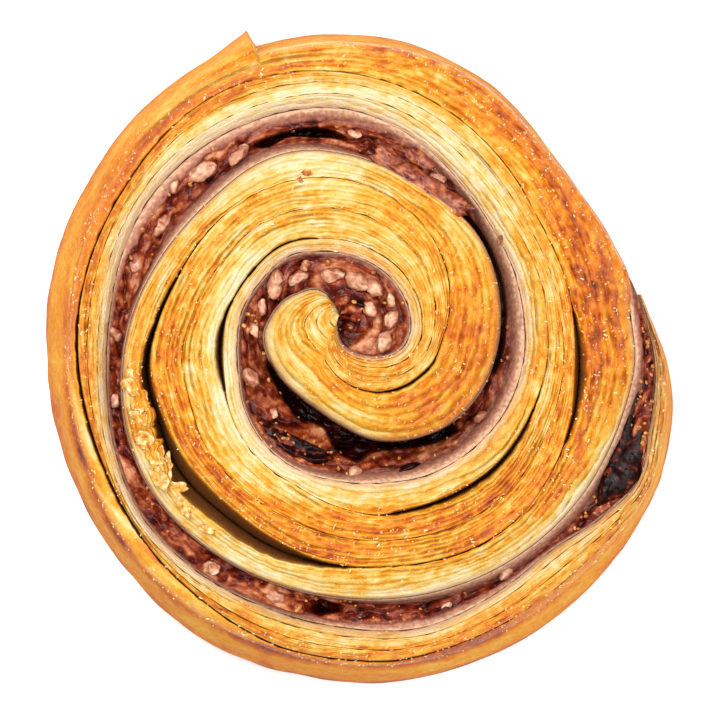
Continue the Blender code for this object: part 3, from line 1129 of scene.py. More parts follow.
    def creased(self, turn: np.ndarray, radius: np.ndarray) -> np.ndarray:
        """How deep in the skin's crease each point is, from 0 to 1.

        Args:
            turn: The turn angles.
            radius: The top's points.

        Returns:
            The share of the crease's full depth.
        """
        if self.leaf is not Leaf.OUTER:
            return np.zeros_like(radius)
        ends = smooth(CREASE[0][0], CREASE[1][0], turn)
        ends = ends * (1 - smooth(CREASE[-2][0], CREASE[-1][0], turn))
        return ends * np.exp(-(((radius - curve(CREASE, turn)) / CREASE_WIDTH) ** 2))

    def bake_and_shade_in_split(self, edge: np.ndarray, below: np.ndarray) -> np.ndarray:
        """The browning inside a split, partly painted shade, at a depth below an edge with its own
        browning.
        """
        return edge + (WALL_BAKE_AND_SHADE - edge) * smooth(0.2, 3.0, below)

    def skin_bake(self, along: np.ndarray, level: np.ndarray, edge: np.ndarray) -> np.ndarray:
        """The browning of the open outer wall, with a brown rim low down.

        Args:
            along: Distance along the sheet.
            level: Height above the base.
            edge: The browning of the top's outer edge.

        Returns:
            The browning.
        """
        wavy = level + 2.6 * grain(along / 15, 0 * level + 0.5, 67)
        rim = np.exp(-(((wavy - 3.2) / 2.2) ** 2))
        skin = 0.46 + 0.2 * (1 - smooth(6.5, 14.5, wavy)) + 0.22 * rim
        skin = skin + 0.1 * grain(along / 7, level / 4, 63)
        skin = skin + 0.06 * grain(along / 2, level / 1.6, 66)
        return np.maximum(skin, edge * smooth(14, 22, level))

    def outer_wall(
        self, along: np.ndarray, level: np.ndarray, top: np.ndarray, depth: np.ndarray
    ) -> tuple[np.ndarray, np.ndarray]:
        """The course of the outer wall.

        Args:
            along: Distance along the sheet.
            level: Height above the base.
            top: The height of the top's outer edge.
            depth: The depth of the split outside the sheet.

        Returns:
            How far each point has moved from the top's edge to the foot's, from 0 to 1,
            and how far it bulges beyond that.
        """
        if self.leaf is not Leaf.OUTER:
            closing = smooth(0, 1, (top - level) / (depth + 0.3))
            return closing, -SEAM_TUCK * np.exp(-level / 0.3)
        closing = np.clip((top - level) / (top - 8.0), 0, 1) ** 0.8
        wrinkle = 0.2 * grain(along / 4.4, level / 2.2, 61)
        wrinkle = wrinkle + 0.14 * grain(along / 9, level / 0.9, 62)
        wrinkle = wrinkle + 0.35 * grain(along / 18, level / 7, 65)
        return closing, wrinkle * smooth(0, 3, level)

    def foot(self, level: np.ndarray, width: np.ndarray) -> np.ndarray:
        """How far the outer wall draws in where it meets the base.

        Args:
            level: Height above the base.
            width: The sheet's width.

        Returns:
            The distance in millimetres.
        """
        if self.leaf is not Leaf.OUTER:
            return np.zeros_like(level)
        under = 1 - np.clip(level / FOOT_HEIGHT, 0, 1)
        return np.minimum(FOOT_DEPTH * (1 - np.sqrt(1 - under**2)), 0.3 * width)

    def build(self) -> bpy.types.Object:
        """Sweeps the sheet along the coil.

        Returns:
            The piece.
        """
        coil, wall, is_outer = self.coil, self.wall_columns, self.leaf is Leaf.OUTER
        turn = stations(ARM_START, ARM_END, coil.middle, self.step)[:, None]
        low, high, low_foot, high_foot, low_depth, high_depth = self.edges(turn)
        along = np.cumsum(np.radians(np.gradient(turn[:, 0])) * (low + high)[:, 0] / 2)[:, None]
        width = high - low
        low = low + np.minimum(self.ragged(turn, along, width), width * 0.3)
        width = high - low
        spread = np.linspace(0, 1, self.top_columns)
        across = (0.62 * spread + 0.38 * (0.5 - 0.5 * np.cos(np.pi * spread)))[None]
        radius = low + width * across
        inner, shoulder = coil.inner(turn), coil.shoulder(turn)
        share = (radius - inner) / (shoulder - inner)
        top = coil.height(turn, np.clip(share, 0, 1))
        bake = coil.browning(np.broadcast_to(turn, share.shape), share)

        relief, crevice_shade, shade = self.leaf_relief(along, across, width)
        crusted, crease = self.crusting(turn, bake), self.creased(turn, radius)
        firm = 0.3 + 0.7 * smooth(0.08, 0.34, bake)
        relief = relief * (1 - 0.8 * crusted) * firm - 0.7 * crease
        # painted shade in the grooves, less under a closed crust, and in the skin's crease
        crevice_shade = crevice_shade * (1 - 0.95 * crusted) * firm + 1.1 * crease
        # the leaves' own tones, with their painted shade and highlight
        bake = bake + shade * (1 - crusted)
        bubbles = self.blisters(along, radius, bake) * (1 - 0.8 * crusted)
        relief = relief + bubbles * (1 - 0.6 * crusted * (turn > SKIN_FROM))
        relief = relief + 0.45 * grain(along / 26, radius / 9, 71)
        fall, reach = self.rounded(radius, (low, low_depth), (high, high_depth))
        relief = relief * smooth(1.0, 6.5, radius)
        top = top + relief * smooth(-0.3, 1, reach) - fall
        # painted highlight: blister tops are made paler, and their pits painted browner
        bake = bake + 0.16 * (relief - relief.mean()) - 0.6 * bubbles
        bake = bake + 0.1 * grain(along / 8, radius / 1.3, 81)
        bake = bake + 0.04 * grain(along / 19, radius / 6, 83)
        bake = bake + crusted * 0.26 * grain(along / 16, radius / 0.9, 82)
        # painted shade also where the top rounds down into a split
        crevice_shade = np.clip(crevice_shade * 0.5 + np.clip(1.2 * (fall - 0.1), 0, 0.5), 0, 1)
        open_air = smooth(OUTER_FROM, OUTER_BY, turn) * is_outer
        crevice_shade = crevice_shade * (1 - smooth(0.55, 0.8, across) * open_air)

        levels = np.linspace(0, 1, wall + 1)[:-1] ** 0.85
        top_in, top_out = top[:, [0]], top[:, [-1]]
        rise, drop = top_in * levels, top_out * levels[::-1]
        closing = smooth(0, 1, (top_in - rise) / (low_depth + 0.3))
        in_radius = low + (low_foot - low) * closing + SEAM_TUCK * np.exp(-rise / 0.3)
        closing, bulge = self.outer_wall(along, drop, top_out, high_depth)
        out_radius = high + (high_foot - high) * closing + bulge - self.foot(drop, width)
        floor_share = np.linspace(0, 1, 6)[1:-1][::-1]
        under = in_radius[:, [0]] + (out_radius[:, [-1]] - in_radius[:, [0]]) * floor_share
        radii = np.concatenate([in_radius, radius, out_radius, under], 1)
        heights = np.concatenate([rise, top, drop, 0 * under], 1)
        points = placed(np.broadcast_to(turn, radii.shape), radii, heights)

        flat = np.zeros_like
        edge_in, edge_out = bake[:, [0]], bake[:, [-1]]
        # split walls turn browner with depth: partly browning, partly painted shade
        out_bake = self.bake_and_shade_in_split(edge_out, top_out - drop)
        out_bake = out_bake * (1 - open_air) + self.skin_bake(along, drop, edge_out) * open_air
        under_bake = 0.74 + 0.1 * grain(along / 5, under / 4, 64)
        # painted shade on the walls inside a split, darker further down
        in_dark = WALL_DARK * smooth(0.2, 3.5, top_in - rise)
        out_dark = WALL_DARK * smooth(0.2, 3.5, top_out - drop) * (1 - open_air)
        stained = self.stains(turn, radius)
        skin_top = crusted * smooth(0.7, 1, across) * (turn > SKIN_FROM)
        layers = {
            "bake": (self.bake_and_shade_in_split(edge_in, top_in - rise), bake, out_bake, under_bake),
            "crevice_shade": (in_dark, crevice_shade, out_dark, flat(under)),
            "stained": (flat(rise) + stained[:, [0]], stained, flat(drop), flat(under)),
            "matt": (flat(rise), skin_top, flat(drop) + open_air, flat(under) + 1.0),
        }
        layers = {key: np.concatenate(parts, 1)[:, ::-1] for key, parts in layers.items()}
        part = slice(wall, wall + self.top_columns, 3)
        golden = smooth(0.2, 0.55, bake[::3, ::3]) * (1 - smooth(0.74, 0.9, bake[::3, ::3]))
        self.strewn = (points[::3, part], golden * (1 - crevice_shade[::3, ::3]))
        return ribbon(f"dough_{self.leaf.name.lower()}_sheet", points[:, ::-1], layers)

    def rounded(self, radius: np.ndarray, *edges: tuple[np.ndarray, np.ndarray]) -> tuple:
        """Rounds the sheet's two top edges, more where the split beside one is deep.

        Args:
            radius: The top's points.
            *edges: The inner and the outer edge, each with the depth of its split.

        Returns:
            How far each point falls, and its distance to the nearer edge over that edge's
            rounding.
        """
        fall, nearest = np.zeros_like(radius), np.full_like(radius, 9.0)
        most = np.maximum(np.minimum(self.rounding, 0.35 * (edges[1][0] - edges[0][0])), 0.05)
        for line, depth in edges:
            edge = np.clip(0.14 * depth, 0.05, most)
            away = np.abs(radius - line)
            reach = np.clip(away / edge, 0, 1)
            fall = np.maximum(fall, edge * (1 - np.sqrt(1 - (1 - reach) ** 2)))
            nearest = np.minimum(nearest, away / edge)
        return fall, nearest

    def stains(self, turn: np.ndarray, radius: np.ndarray) -> np.ndarray:
        """How much fruit has soaked in, next to the filling on either side.

        Args:
            turn: The turn angles.
            radius: The top's points.

        Returns:
            The stain, from 0 to 1.
        """
        beside = turn > STAIN_FROM
        soaked = 0.8 * np.exp(-(radius - self.coil.inner(turn)) * beside / 0.8) * beside
        outside = (self.coil.outer(turn) - radius) + 9 * (turn > OUTER_FROM)
        return soaked + 0.6 * np.exp(-((outside / 0.5) ** 2))


@dataclass
class Dough:
    """The whole arm of laminated dough."""

    coil: Coil
    finish: BakedDough = BakedDough()
    leaves: tuple[int, ...] = (3, 6, 6, 6)
    sheets: list[DoughSheet] = field(default_factory=list)

    def build(self) -> list[bpy.types.Object]:
        """Builds and finishes the four sheets.

        Returns:
            The pieces.
        """
        crust = self.finish.material()
        pieces = []
        for leaf, count in zip(Leaf, self.leaves):
            sheet = DoughSheet(leaf, self.coil, count)
            piece = sheet.build()
            piece.data.materials.append(crust)
            self.sheets.append(sheet)
            pieces.append(piece)
        return pieces


# ---------------------------------------------------------------------------- the filling


@dataclass
class Filling:
    """The ribbon of fruit paste, with its stained edges and sunken hollows."""

    coil: Coil
    finish: FruitFilling = FruitFilling()
    step: float = 0.33
    top_columns: int = 66
    lump: float = 2.8
    strewn: tuple[np.ndarray, np.ndarray] | None = None

    def bands(self, turn: np.ndarray, radius: np.ndarray, low: np.ndarray, high: np.ndarray) -> tuple:
        """How much of each point is stained dough, at the inner and at the outer edge.

        Args:
            turn: The turn angles.
            radius: The top's points.
            low: The inner edge.
            high: The outer edge.

        Returns:
            The two shares, from 0 to 1.
        """
        wide_in = curve(STAINED, turn, 1) * (1 + 0.25 * grain(turn / 5, 0.5, 11))
        wide_out = curve(STAINED, turn, 2) * (1 + 0.25 * grain(turn / 5, 4.5, 12))
        inside = 1 - smooth(0.65, 1.15, (radius - low) / np.maximum(wide_in, 0.05))
        outside = 1 - smooth(0.65, 1.15, (high - radius) / np.maximum(wide_out, 0.05))
        return inside, outside

    def sunk(self, turn: np.ndarray, radius: np.ndarray) -> np.ndarray:
        """The depth of the hollows at each point.

        Args:
            turn: The turn angles.
            radius: The top's points.

        Returns:
            The depth in millimetres.
        """
        depth = np.zeros_like(radius)
        for deepest, outline in HOLLOWS:
            low, high = curve(outline, turn, 1), curve(outline, turn, 2)
            ends = smooth(outline[0][0], outline[0][0] + 5, turn)
            ends = ends * (1 - smooth(outline[-1][0] - 5, outline[-1][0], turn))
            within = smooth(-0.35, 0.35, radius - low) * smooth(-0.35, 0.35, high - radius)
            depth = np.maximum(depth, deepest * ends * within)
        return depth

    def by_figs(self, turn: np.ndarray, radius: np.ndarray) -> np.ndarray:
        """How near each point is to a piece of fig, from 0 to 1.

        Args:
            turn: The turn angles.
            radius: The top's points.

        Returns:
            The nearness of the nearest piece.
        """
        near = np.zeros_like(radius)
        for _, _, _, outline in FIGS:
            low, high = curve(outline, turn, 1), curve(outline, turn, 2)
            first, last = outline[0][0], outline[-1][0]
            ends = smooth(first - 6, first, turn) * (1 - smooth(last, last + 6, turn))
            within = smooth(-1.6, 0, radius - low) * smooth(-1.6, 0, high - radius)
            near = np.maximum(near, ends * within)
        return near

    def build(self) -> bpy.types.Object:
        """Sweeps the ribbon along the coil.

        Returns:
            The piece.
        """
        middle_at = partial(middle_of, FILLING)
        turn = stations(FILLING_START, FILLING_END, middle_at, self.step)[:, None]
        low = np.maximum(curve(FILLING, turn, 1) + 0.02, POLE_RADIUS)
        low = np.where(turn < FILLING_LEAVES_POLE, POLE_RADIUS, low)
        high = curve(FILLING, turn, 2) - 0.02
        middle = np.maximum((low + high)[:, 0] / 2, 3.0)
        along = np.cumsum(np.radians(np.gradient(turn[:, 0])) * middle)[:, None]
        across = np.linspace(0, 1, self.top_columns)[None]
        radius = low + (high - low) * across
        turns = np.broadcast_to(turn, radius.shape)
        x, y = radius * np.cos(np.radians(turns)), radius * np.sin(np.radians(turns))
        inside, outside = self.bands(turns, radius, low, high)
        doughy = np.maximum(inside, outside)
        rim_in, rim_out = curve(FILLING_TOP, turn, 1), curve(FILLING_TOP, turn, 2)
        top = rim_in + (rim_out - rim_in) * across

        warp = 0.5 * grain(x / 1.7 + 30, y / 1.7 + 30, 20)
        long_way, cross_way = along / (1.5 * self.lump), radius / (0.62 * self.lump)
        mounds = lumps(long_way + 3 + warp, cross_way + 9 - warp, 21)
        pips = lumps(x / 0.8 + 90 + warp, y / 0.8 + 90, 22)
        paste = 1.3 * mounds - 0.5 + 0.12 * pips + 0.8 * grain(x / 4.3 + 60, y / 4.3 + 60, 23)
        crumb = 0.1 * grain(along / 1.3, radius / 0.5, 24)
        crumb += 0.12 * grain(along / 3, radius / 0.4, 25)
        slant, skew = (x + y) * 0.707 / 0.6, (x - y) * 0.707 / 0.6
        crumb += 0.06 * grain(slant + 200, skew + 200, 27)
        wide_in, wide_out = curve(STAINED, turn, 1), curve(STAINED, turn, 2)
        share_in = 1 - smooth(0, 1, (radius - low) / np.maximum(wide_in, 0.3))
        share_out = 1 - smooth(0, 1, (high - radius) / np.maximum(wide_out, 0.3))
        wall_in, wall_out = coil_edge_height(self.coil, turn)
        raise_in = (wall_in - 0.6 - top) * share_in * inside
        raise_out = (wall_out - 0.35 - top) * share_out * outside
        sunk = self.sunk(turns, radius)
        top = top + paste * (1 - doughy) + crumb + raise_out + raise_in - sunk

        levels = np.linspace(0, 1, 5)[:-1]
        rise, drop = top[:, [0]] * levels, top[:, [-1]] * levels[::-1]
        edge_in, edge_out = np.broadcast_to(low, rise.shape), np.broadcast_to(high, drop.shape)
        under = low + (high - low) * np.array([[0.75, 0.5, 0.25]])
        radii = np.concatenate([edge_in, radius, edge_out, under], 1)
        heights = np.concatenate([rise, top, drop, 0 * under], 1)
        heights[:, :1] = heights[:, -4:] = FILLING_BASE
        points = placed(np.broadcast_to(turn, radii.shape), radii, heights)

        pulp = 0.46 + 0.42 * (mounds - 0.5) + 0.34 * grain(along / 6, radius / 2.2 + 60, 26)
        towards = np.maximum(share_out * outside, share_in * inside)
        # painted shade: the paste is darker where the hollows are deep
        pulp = (pulp - 0.08 * sunk) * (1 - doughy) + (0.25 + 0.75 * towards) * doughy
        flat = np.zeros_like
        layers = {
            "pulp": (flat(rise) + 0.35, pulp, flat(drop) + 0.35, flat(under) + 0.2),
            "doughy": (flat(rise), doughy, flat(drop), flat(under)),
        }
        layers = {key: np.concatenate(parts, 1)[:, ::-1] for key, parts in layers.items()}
        seedy = (1 - doughy) * (sunk < 0.5) * (0.45 + 2.2 * self.by_figs(turns, radius))
        part = slice(len(levels), len(levels) + self.top_columns, 3)
        self.strewn = (points[::3, part], seedy[::3, ::3])
        piece = ribbon("fruit_ribbon", points[:, ::-1], layers)
        piece.data.materials.append(self.finish.material())
        return piece

    def height_at(self, turn: float, radius: float) -> float:
        """The plain height of the filling at one place, for what lies on it.

        Args:
            turn: The turn angle.
            radius: The radius.

        Returns:
            The height in millimetres.
        """
        at = np.array([turn], float)
        low, high = curve(FILLING, at, 1)[0], curve(FILLING, at, 2)[0]
        share = (radius - low) / (high - low)
        inner, outer = curve(FILLING_TOP, at, 1)[0], curve(FILLING_TOP, at, 2)[0]
        return float(inner + (outer - inner) * min(max(share, 0.0), 1.0))


def coil_edge_height(coil: Coil, turn: np.ndarray) -> tuple[np.ndarray, np.ndarray]:
    """The dough's height on the two sides of the filling.

    Args:
        coil: The plan.
        turn: The filling's turn angles.

    Returns:
        The heights of the arm inside the filling and of the arm outside it.
    """
    inside = coil.height(np.maximum(turn, ARM_START), np.ones_like(turn))
    outside = coil.height(turn + 360, np.zeros_like(turn))
    return inside, outside


@dataclass
class FigPiece:
    """A cut piece of dried fig, wrinkled and nearly black."""

    name: str
    top: float
    thickness: float
    outline: Table
    around: int = 40
    step: float = 0.22

    def build(self, skin: bpy.types.Material) -> bpy.types.Object:
        """Builds the lump inside its outline.

        Args:
            skin: The fig's material.

        Returns:
            The piece.
        """
        first, last = self.outline[0][0], self.outline[-1][0]
        turn = stations(first, last, partial(middle_of, self.outline), self.step)
        low, high = curve(self.outline, turn, 1), curve(self.outline, turn, 2)
        ends = np.clip(np.minimum(turn - first, last - turn) / (last - first) * 5, 0.0, 1.0)
        girth = np.sqrt(np.clip(1 - (1 - ends) ** 2, 0.02, 1))[:, None]
        round_angle = np.linspace(0, 2 * np.pi, self.around, endpoint=False)[None]
        lift = np.sin(round_angle)
        lift = np.sign(lift) * np.abs(lift) ** 0.7
        middle, half = ((low + high) / 2)[:, None], ((high - low) / 2)[:, None] * girth
        along = (np.radians(turn - first) * middle[:, 0])[:, None]
        out = middle + half * np.cos(round_angle)
        crinkle = 0.4 * grain(along / 2.2, out / 0.9 + 5, 51)
        crinkle += 0.14 * grain(along / 0.8, out / 0.45 + 5, 52)
        sway = 0.8 * grain(along / 6.5, 0 * out + 2.5, 54)
        fold = 1.9 * np.abs(grain(along / 14, (out + sway) / 1.5 + 9, 53))
        up = self.top - self.thickness / 2 + self.thickness / 2 * girth * lift
        up = up + (crinkle - fold) * np.clip(lift + 0.3, 0, 1) * girth
        points = placed(np.broadcast_to(turn[:, None], out.shape), out, up)
        piece = ribbon(self.name, points, {})
        piece.data.materials.append(skin)
        return piece


# --------------------------------------------------------------------------- the toppings


@dataclass
class Tree:
    """A Geometry Nodes tree under construction."""

    name: str
    identifiers: dict[str, str] = field(default_factory=dict)

    def __post_init__(self) -> None:
        """Makes the group with its geometry in and out."""
        self.group = bpy.data.node_groups.new(self.name, "GeometryNodeTree")
        self.group.interface.new_socket("Geometry", in_out="INPUT", socket_type="NodeSocketGeometry")
        self.group.interface.new_socket("Geometry", in_out="OUTPUT", socket_type="NodeSocketGeometry")
        self.start = self.group.nodes.new("NodeGroupInput")
        self.end = self.group.nodes.new("NodeGroupOutput")

    def size(self, name: str, kind: str = "NodeSocketFloat") -> bpy.types.NodeSocket:
        """A named input for one of the topping's sizes.

        Args:
            name: The input's name.
            kind: Its socket type.

        Returns:
            The socket that reads it.
        """
        made = self.group.interface.new_socket(name, in_out="INPUT", socket_type=kind)
        self.identifiers[name] = made.identifier
        return self.start.outputs[name]

    def node(self, kind: str, values: dict | None = None, **settings) -> bpy.types.Node:
        """Adds a node.

        Args:
            kind: The node's type, without its prefix.
            values: Input name or number to a value or a socket.
            **settings: The node's own properties.

        Returns:
            The node.
        """
        prefix = "" if kind.startswith(("Shader", "Function")) else "GeometryNode"
        made = self.group.nodes.new(prefix + kind)
        for key, setting in settings.items():
            setattr(made, key, setting)
        for key, value in (values or {}).items():
            if isinstance(value, bpy.types.NodeSocket):
                self.group.links.new(value, made.inputs[key])
            else:
                made.inputs[key].default_value = value
        return made

    def close(self, geometry: bpy.types.NodeSocket, finish: bpy.types.Material) -> None:
        """Ends the tree with real meshes and their material.

        Args:
            geometry: What the tree has made.
            finish: Its material.
        """
        real = self.node("RealizeInstances", {"Geometry": geometry})
        dressed = self.node("SetMaterial", {"Geometry": real.outputs[0], "Material": finish})
        self.group.links.new(dressed.outputs[0], self.end.inputs[0])

    def grow(self, name: str, host: bpy.types.Object, sizes: dict) -> bpy.types.Object:
        """Runs the tree on a helper and keeps only the plain mesh that it makes.

        Args:
            name: The new piece's name.
            host: The helper, which is removed.
            sizes: Input name to value.

        Returns:
            The piece.
        """
        modifier = host.modifiers.new(self.name, "NODES")
        modifier.node_group = self.group
        for key, value in sizes.items():
            modifier[self.identifiers[key]] = value
        graph = bpy.context.evaluated_depsgraph_get()
        mesh = bpy.data.meshes.new_from_object(host.evaluated_get(graph))
        mesh.name = name
        host.modifiers.remove(modifier)
        bpy.data.objects.remove(host)
        return shown(name, mesh)


@dataclass(frozen=True)
class Strewing:
    """Small pieces strewn over a surface, more of them where it is marked thick."""

    name: str
    density: float  # pieces in a square centimetre, where the surface is marked thick
    size: float  # millimetres
    shape: tuple[float, float, float]
    seed: int
    lift: float = 0.2
    boxy: bool = False

    def build(self, host: bpy.types.Object, finish: bpy.types.Material) -> bpy.types.Object:
        """Strews the pieces over the helper.

        Args:
            host: The helper surface, with its thick attribute.
            finish: The pieces' material.

        Returns:
            The piece.
        """
        tree = Tree(self.name)
        density, size, seed = tree.size("Density"), tree.size("Size"), tree.size("Seed", "NodeSocketInt")
        thick = tree.node("InputNamedAttribute", {"Name": "thick"}, data_type="FLOAT")
        amount = tree.node("ShaderNodeMath", {0: thick.outputs[0], 1: density}, operation="MULTIPLY")
        dots = tree.node(
            "DistributePointsOnFaces",
            {"Mesh": tree.start.outputs[0], "Density": amount.outputs[0], "Seed": seed},
        )
        if self.boxy:
            grain_mesh = tree.node("MeshCube", {"Size": self.shape})
        else:
            ball = tree.node("MeshIcoSphere", {"Radius": 0.5, "Subdivisions": 2})
            grain_mesh = tree.node("Transform", {"Geometry": ball.outputs[0], "Scale": self.shape})
        turned = tree.node(
            "FunctionNodeRandomValue",
            {0: (0.0, 0.0, 0.0), 1: (0.9, 0.9, 6.28), "Seed": self.seed},
            data_type="FLOAT_VECTOR",
        )
        vary = tree.node(
            "FunctionNodeRandomValue",
            {2: 0.45, 3: 1.2, "Seed": self.seed + 1},
            data_type="FLOAT",
        )
        big = tree.node("ShaderNodeMath", {0: vary.outputs[1], 1: size}, operation="MULTIPLY")
        grains = tree.node(
            "InstanceOnPoints",
            {
                "Points": dots.outputs["Points"],
                "Instance": grain_mesh.outputs[0],
                "Rotation": turned.outputs[0],
                "Scale": big.outputs[0],
            },
        )
        lift = tree.node("ShaderNodeCombineXYZ", {"Z": self.lift * self.size * MM})
        raised = tree.node(
            "TranslateInstances",
            {
                "Instances": grains.outputs[0],
                "Translation": lift.outputs[0],
                "Local Space": False,
            },
        )
        tree.close(raised.outputs[0], finish)
        sizes = {"Density": self.density * 1e4, "Size": self.size * MM, "Seed": self.seed}
        return tree.grow(self.name, host, sizes)


@dataclass
class NutPieces:
    """Chopped nuts, each set at a listed place and half sunk in the filling."""

    filling: Filling
    sink: float = 0.36
    unevenness: float = 0.17

    def build(self, flesh: bpy.types.Material) -> bpy.types.Object:
        """Puts a piece of nut at each place.

        Args:
            flesh: The nut's material.

        Returns:
            The piece.
        """
        spots, sizes, turns = [], [], []
        for index, (turn, radius, length, width) in enumerate(NUTS):
            thick = 0.85 * width
            height = self.filling.height_at(turn, radius) + thick * (0.5 - self.sink) + 0.5
            spots.append(placed(np.array(float(turn)), np.array(radius), np.array(height)))
            sizes.append((length * MM, width * MM, thick * MM))
            heading = math.radians(turn + 90 + 18 * math.sin(index * 3.7))
            tips = 0.25 * math.sin(index * 2.1), 0.25 * math.cos(index * 1.3)
            turns.append((*tips, heading))
        mesh = bpy.data.meshes.new("nut_spots")
        mesh.from_pydata([tuple(spot) for spot in spots], [], [])
        for key, rows in (("girth", sizes), ("turned", turns)):
            layer = mesh.attributes.new(key, "FLOAT_VECTOR", "POINT")
            layer.data.foreach_set("vector", np.asarray(rows, np.float32).reshape(-1))
        host = shown("nut_spots", mesh)

        tree = Tree("nut_pieces")
        rough = tree.size("Unevenness")
        ball = tree.node("MeshIcoSphere", {"Radius": 0.5, "Subdivisions": 4})
        girth = tree.node("InputNamedAttribute", {"Name": "girth"}, data_type="FLOAT_VECTOR")
        turned = tree.node("InputNamedAttribute", {"Name": "turned"}, data_type="FLOAT_VECTOR")
        nuts = tree.node(
            "InstanceOnPoints",
            {
                "Points": tree.start.outputs[0],
                "Instance": ball.outputs[0],
                "Rotation": turned.outputs[0],
                "Scale": girth.outputs[0],
            },
        )
        real = tree.node("RealizeInstances", {"Geometry": nuts.outputs[0]})
        noise = tree.node("ShaderNodeTexNoise", {"Scale": 420.0, "Detail": 2.0})
        centred = tree.node(
            "ShaderNodeVectorMath",
            {0: noise.outputs["Color"], 1: (0.5, 0.5, 0.5)},
            operation="SUBTRACT",
        )
        pushed = tree.node("ShaderNodeVectorMath", {0: centred.outputs[0]}, operation="SCALE")
        tree.group.links.new(rough, pushed.inputs["Scale"])
        moved = tree.node("SetPosition", {"Geometry": real.outputs[0], "Offset": pushed.outputs[0]})
        smoothed = tree.node("SetShadeSmooth", {"Geometry": moved.outputs[0]})
        tree.close(smoothed.outputs[0], flesh)
        return tree.grow("nut_pieces", host, {"Unevenness": self.unevenness * 10 * MM})


@dataclass(frozen=True)
class Scrap:
    """A thin torn flake: where it lies, its length along the coil, its width and its height."""

    turn: float
    radius: float
    length: float
    width: float
    height: float
    heading: float = 0.0  # degrees from the direction of the coil
    tilt: float = 0.0  # rise of its outer side over its width
    curl: float = 0.3  # millimetres that its ends lift
    thickness: float = 0.35

    def shape(self, seed: int, around: int = 44, rings: int = 9) -> np.ndarray:
        """Lays out the flake's top and underside as rings of points.

        Args:
            seed: Picks its torn outline.
            around: Points in a ring.
            rings: Rings from the middle out, for each side.

        Returns:
            The points in metres, ring by ring.
        """
        spin = np.linspace(0, 2 * np.pi, around, endpoint=False)[None]
        share = np.linspace(0.02, 1, rings)[:, None]
        lobes = grain(np.cos(spin) * 1.6 + 5, np.sin(spin) * 1.6 + 5 + 0 * share, seed)
        torn = 1 + 0.36 * lobes * share
        fray = grain(np.cos(spin) * 5 + 9, np.sin(spin) * 5 + 9 + 0 * share, seed + 1)
        torn = torn + 0.16 * fray * share**2
        u = share * torn * np.cos(spin) * self.length / 2
        v = share * torn * np.sin(spin) * self.width / 2
        bend = self.curl * (2 * u / self.length) ** 2 + self.tilt * v
        bend = bend + 0.28 * grain(u / 1.1 + seed, v / 0.8 + 3, seed + 2)
        bend = bend + 0.1 * grain(u / 0.4 + seed, v / 0.4, seed + 3)
        half = self.thickness / 2 * np.sqrt(1.0001 - share**2)
        turned = math.radians(self.heading)
        ahead = u * math.cos(turned) - v * math.sin(turned)
        out = u * math.sin(turned) + v * math.cos(turned)
        angle = self.turn + np.degrees(ahead / self.radius)
        sides = [placed(angle, self.radius + out, self.height + bend + side * half) for side in (1, -1)]
        return np.concatenate([sides[0], sides[1][::-1][1:]])


def scraps(name: str, flakes: Sequence[Scrap], finish: bpy.types.Material) -> bpy.types.Object:
    """Makes one piece of several torn flakes.

    Args:
        name: The piece's name.
        flakes: The flakes.
        finish: Their material.

    Returns:
        The piece.
    """
    made = bmesh.new()
    for seed, flake in enumerate(flakes):
        rings = [[made.verts.new(point) for point in ring] for ring in flake.shape(100 + 7 * seed)]
        for inner, outer in zip(rings, rings[1:]):
            for i in range(len(inner)):
                made.faces.new((inner[i], outer[i], outer[i - 1], inner[i - 1]))
        made.faces.new(rings[0])
        made.faces.new(rings[-1][::-1])
    bmesh.ops.recalc_face_normals(made, faces=made.faces)
    mesh = bpy.data.meshes.new(name)
    made.to_mesh(mesh)
    made.free()
    mesh.shade_smooth()
    mesh.materials.append(finish)
    return shown(name, mesh)


JAM_FLAP = (
    Scrap(408, 27.4, 9.0, 3.6, 26.2, heading=-22, tilt=-0.1, curl=0.6, thickness=0.9),
    Scrap(419, 27.3, 9.5, 4.2, 26.2, heading=2, tilt=-0.14, curl=0.3, thickness=0.9),
    Scrap(430, 28.4, 8.5, 4.0, 25.4, heading=12, tilt=-0.1, curl=0.3, thickness=0.9),
    Scrap(401, 29.0, 4.0, 1.8, 25.0, heading=-34, tilt=-0.2, curl=0.3, thickness=0.6),
    Scrap(424, 30.6, 8.0, 2.4, 25.6, heading=6, curl=0.5, thickness=0.9),
)
GOLDEN_FLAKES = (
    Scrap(555, 37.4, 3.0, 2.0, 27.2, heading=15, tilt=-0.2, curl=0.7),
    Scrap(559, 38.4, 3.6, 2.4, 27.6, heading=-20, tilt=-0.3, curl=0.9),
    Scrap(563, 37.9, 4.0, 2.8, 27.2, heading=35, tilt=-0.4, curl=1.2),
    Scrap(567, 39.2, 3.6, 2.8, 27.7, heading=-30, tilt=-0.3, curl=1.2),
    Scrap(570, 38.8, 4.0, 2.8, 27.1, heading=45, tilt=-0.4, curl=0.8),
    Scrap(573, 40.4, 3.6, 3.0, 27.8, heading=-12, tilt=-0.3, curl=1.0),
    Scrap(577, 40.2, 4.0, 2.8, 27.2, heading=40, tilt=-0.3, curl=0.7),
    Scrap(581, 40.3, 4.4, 3.0, 26.7, heading=52, tilt=-0.2, curl=0.6),
    Scrap(582, 42.2, 4.0, 3.0, 27.6, heading=20, tilt=-0.3, curl=0.9),
    Scrap(586, 41.8, 4.2, 2.4, 27.0, heading=-40, tilt=-0.3, curl=1.0),
    Scrap(591, 43.0, 3.6, 2.4, 27.4, heading=25, tilt=-0.2, curl=0.7),
    Scrap(598, 44.0, 3.0, 1.8, 27.2, heading=-20, tilt=-0.2, curl=0.5),
)
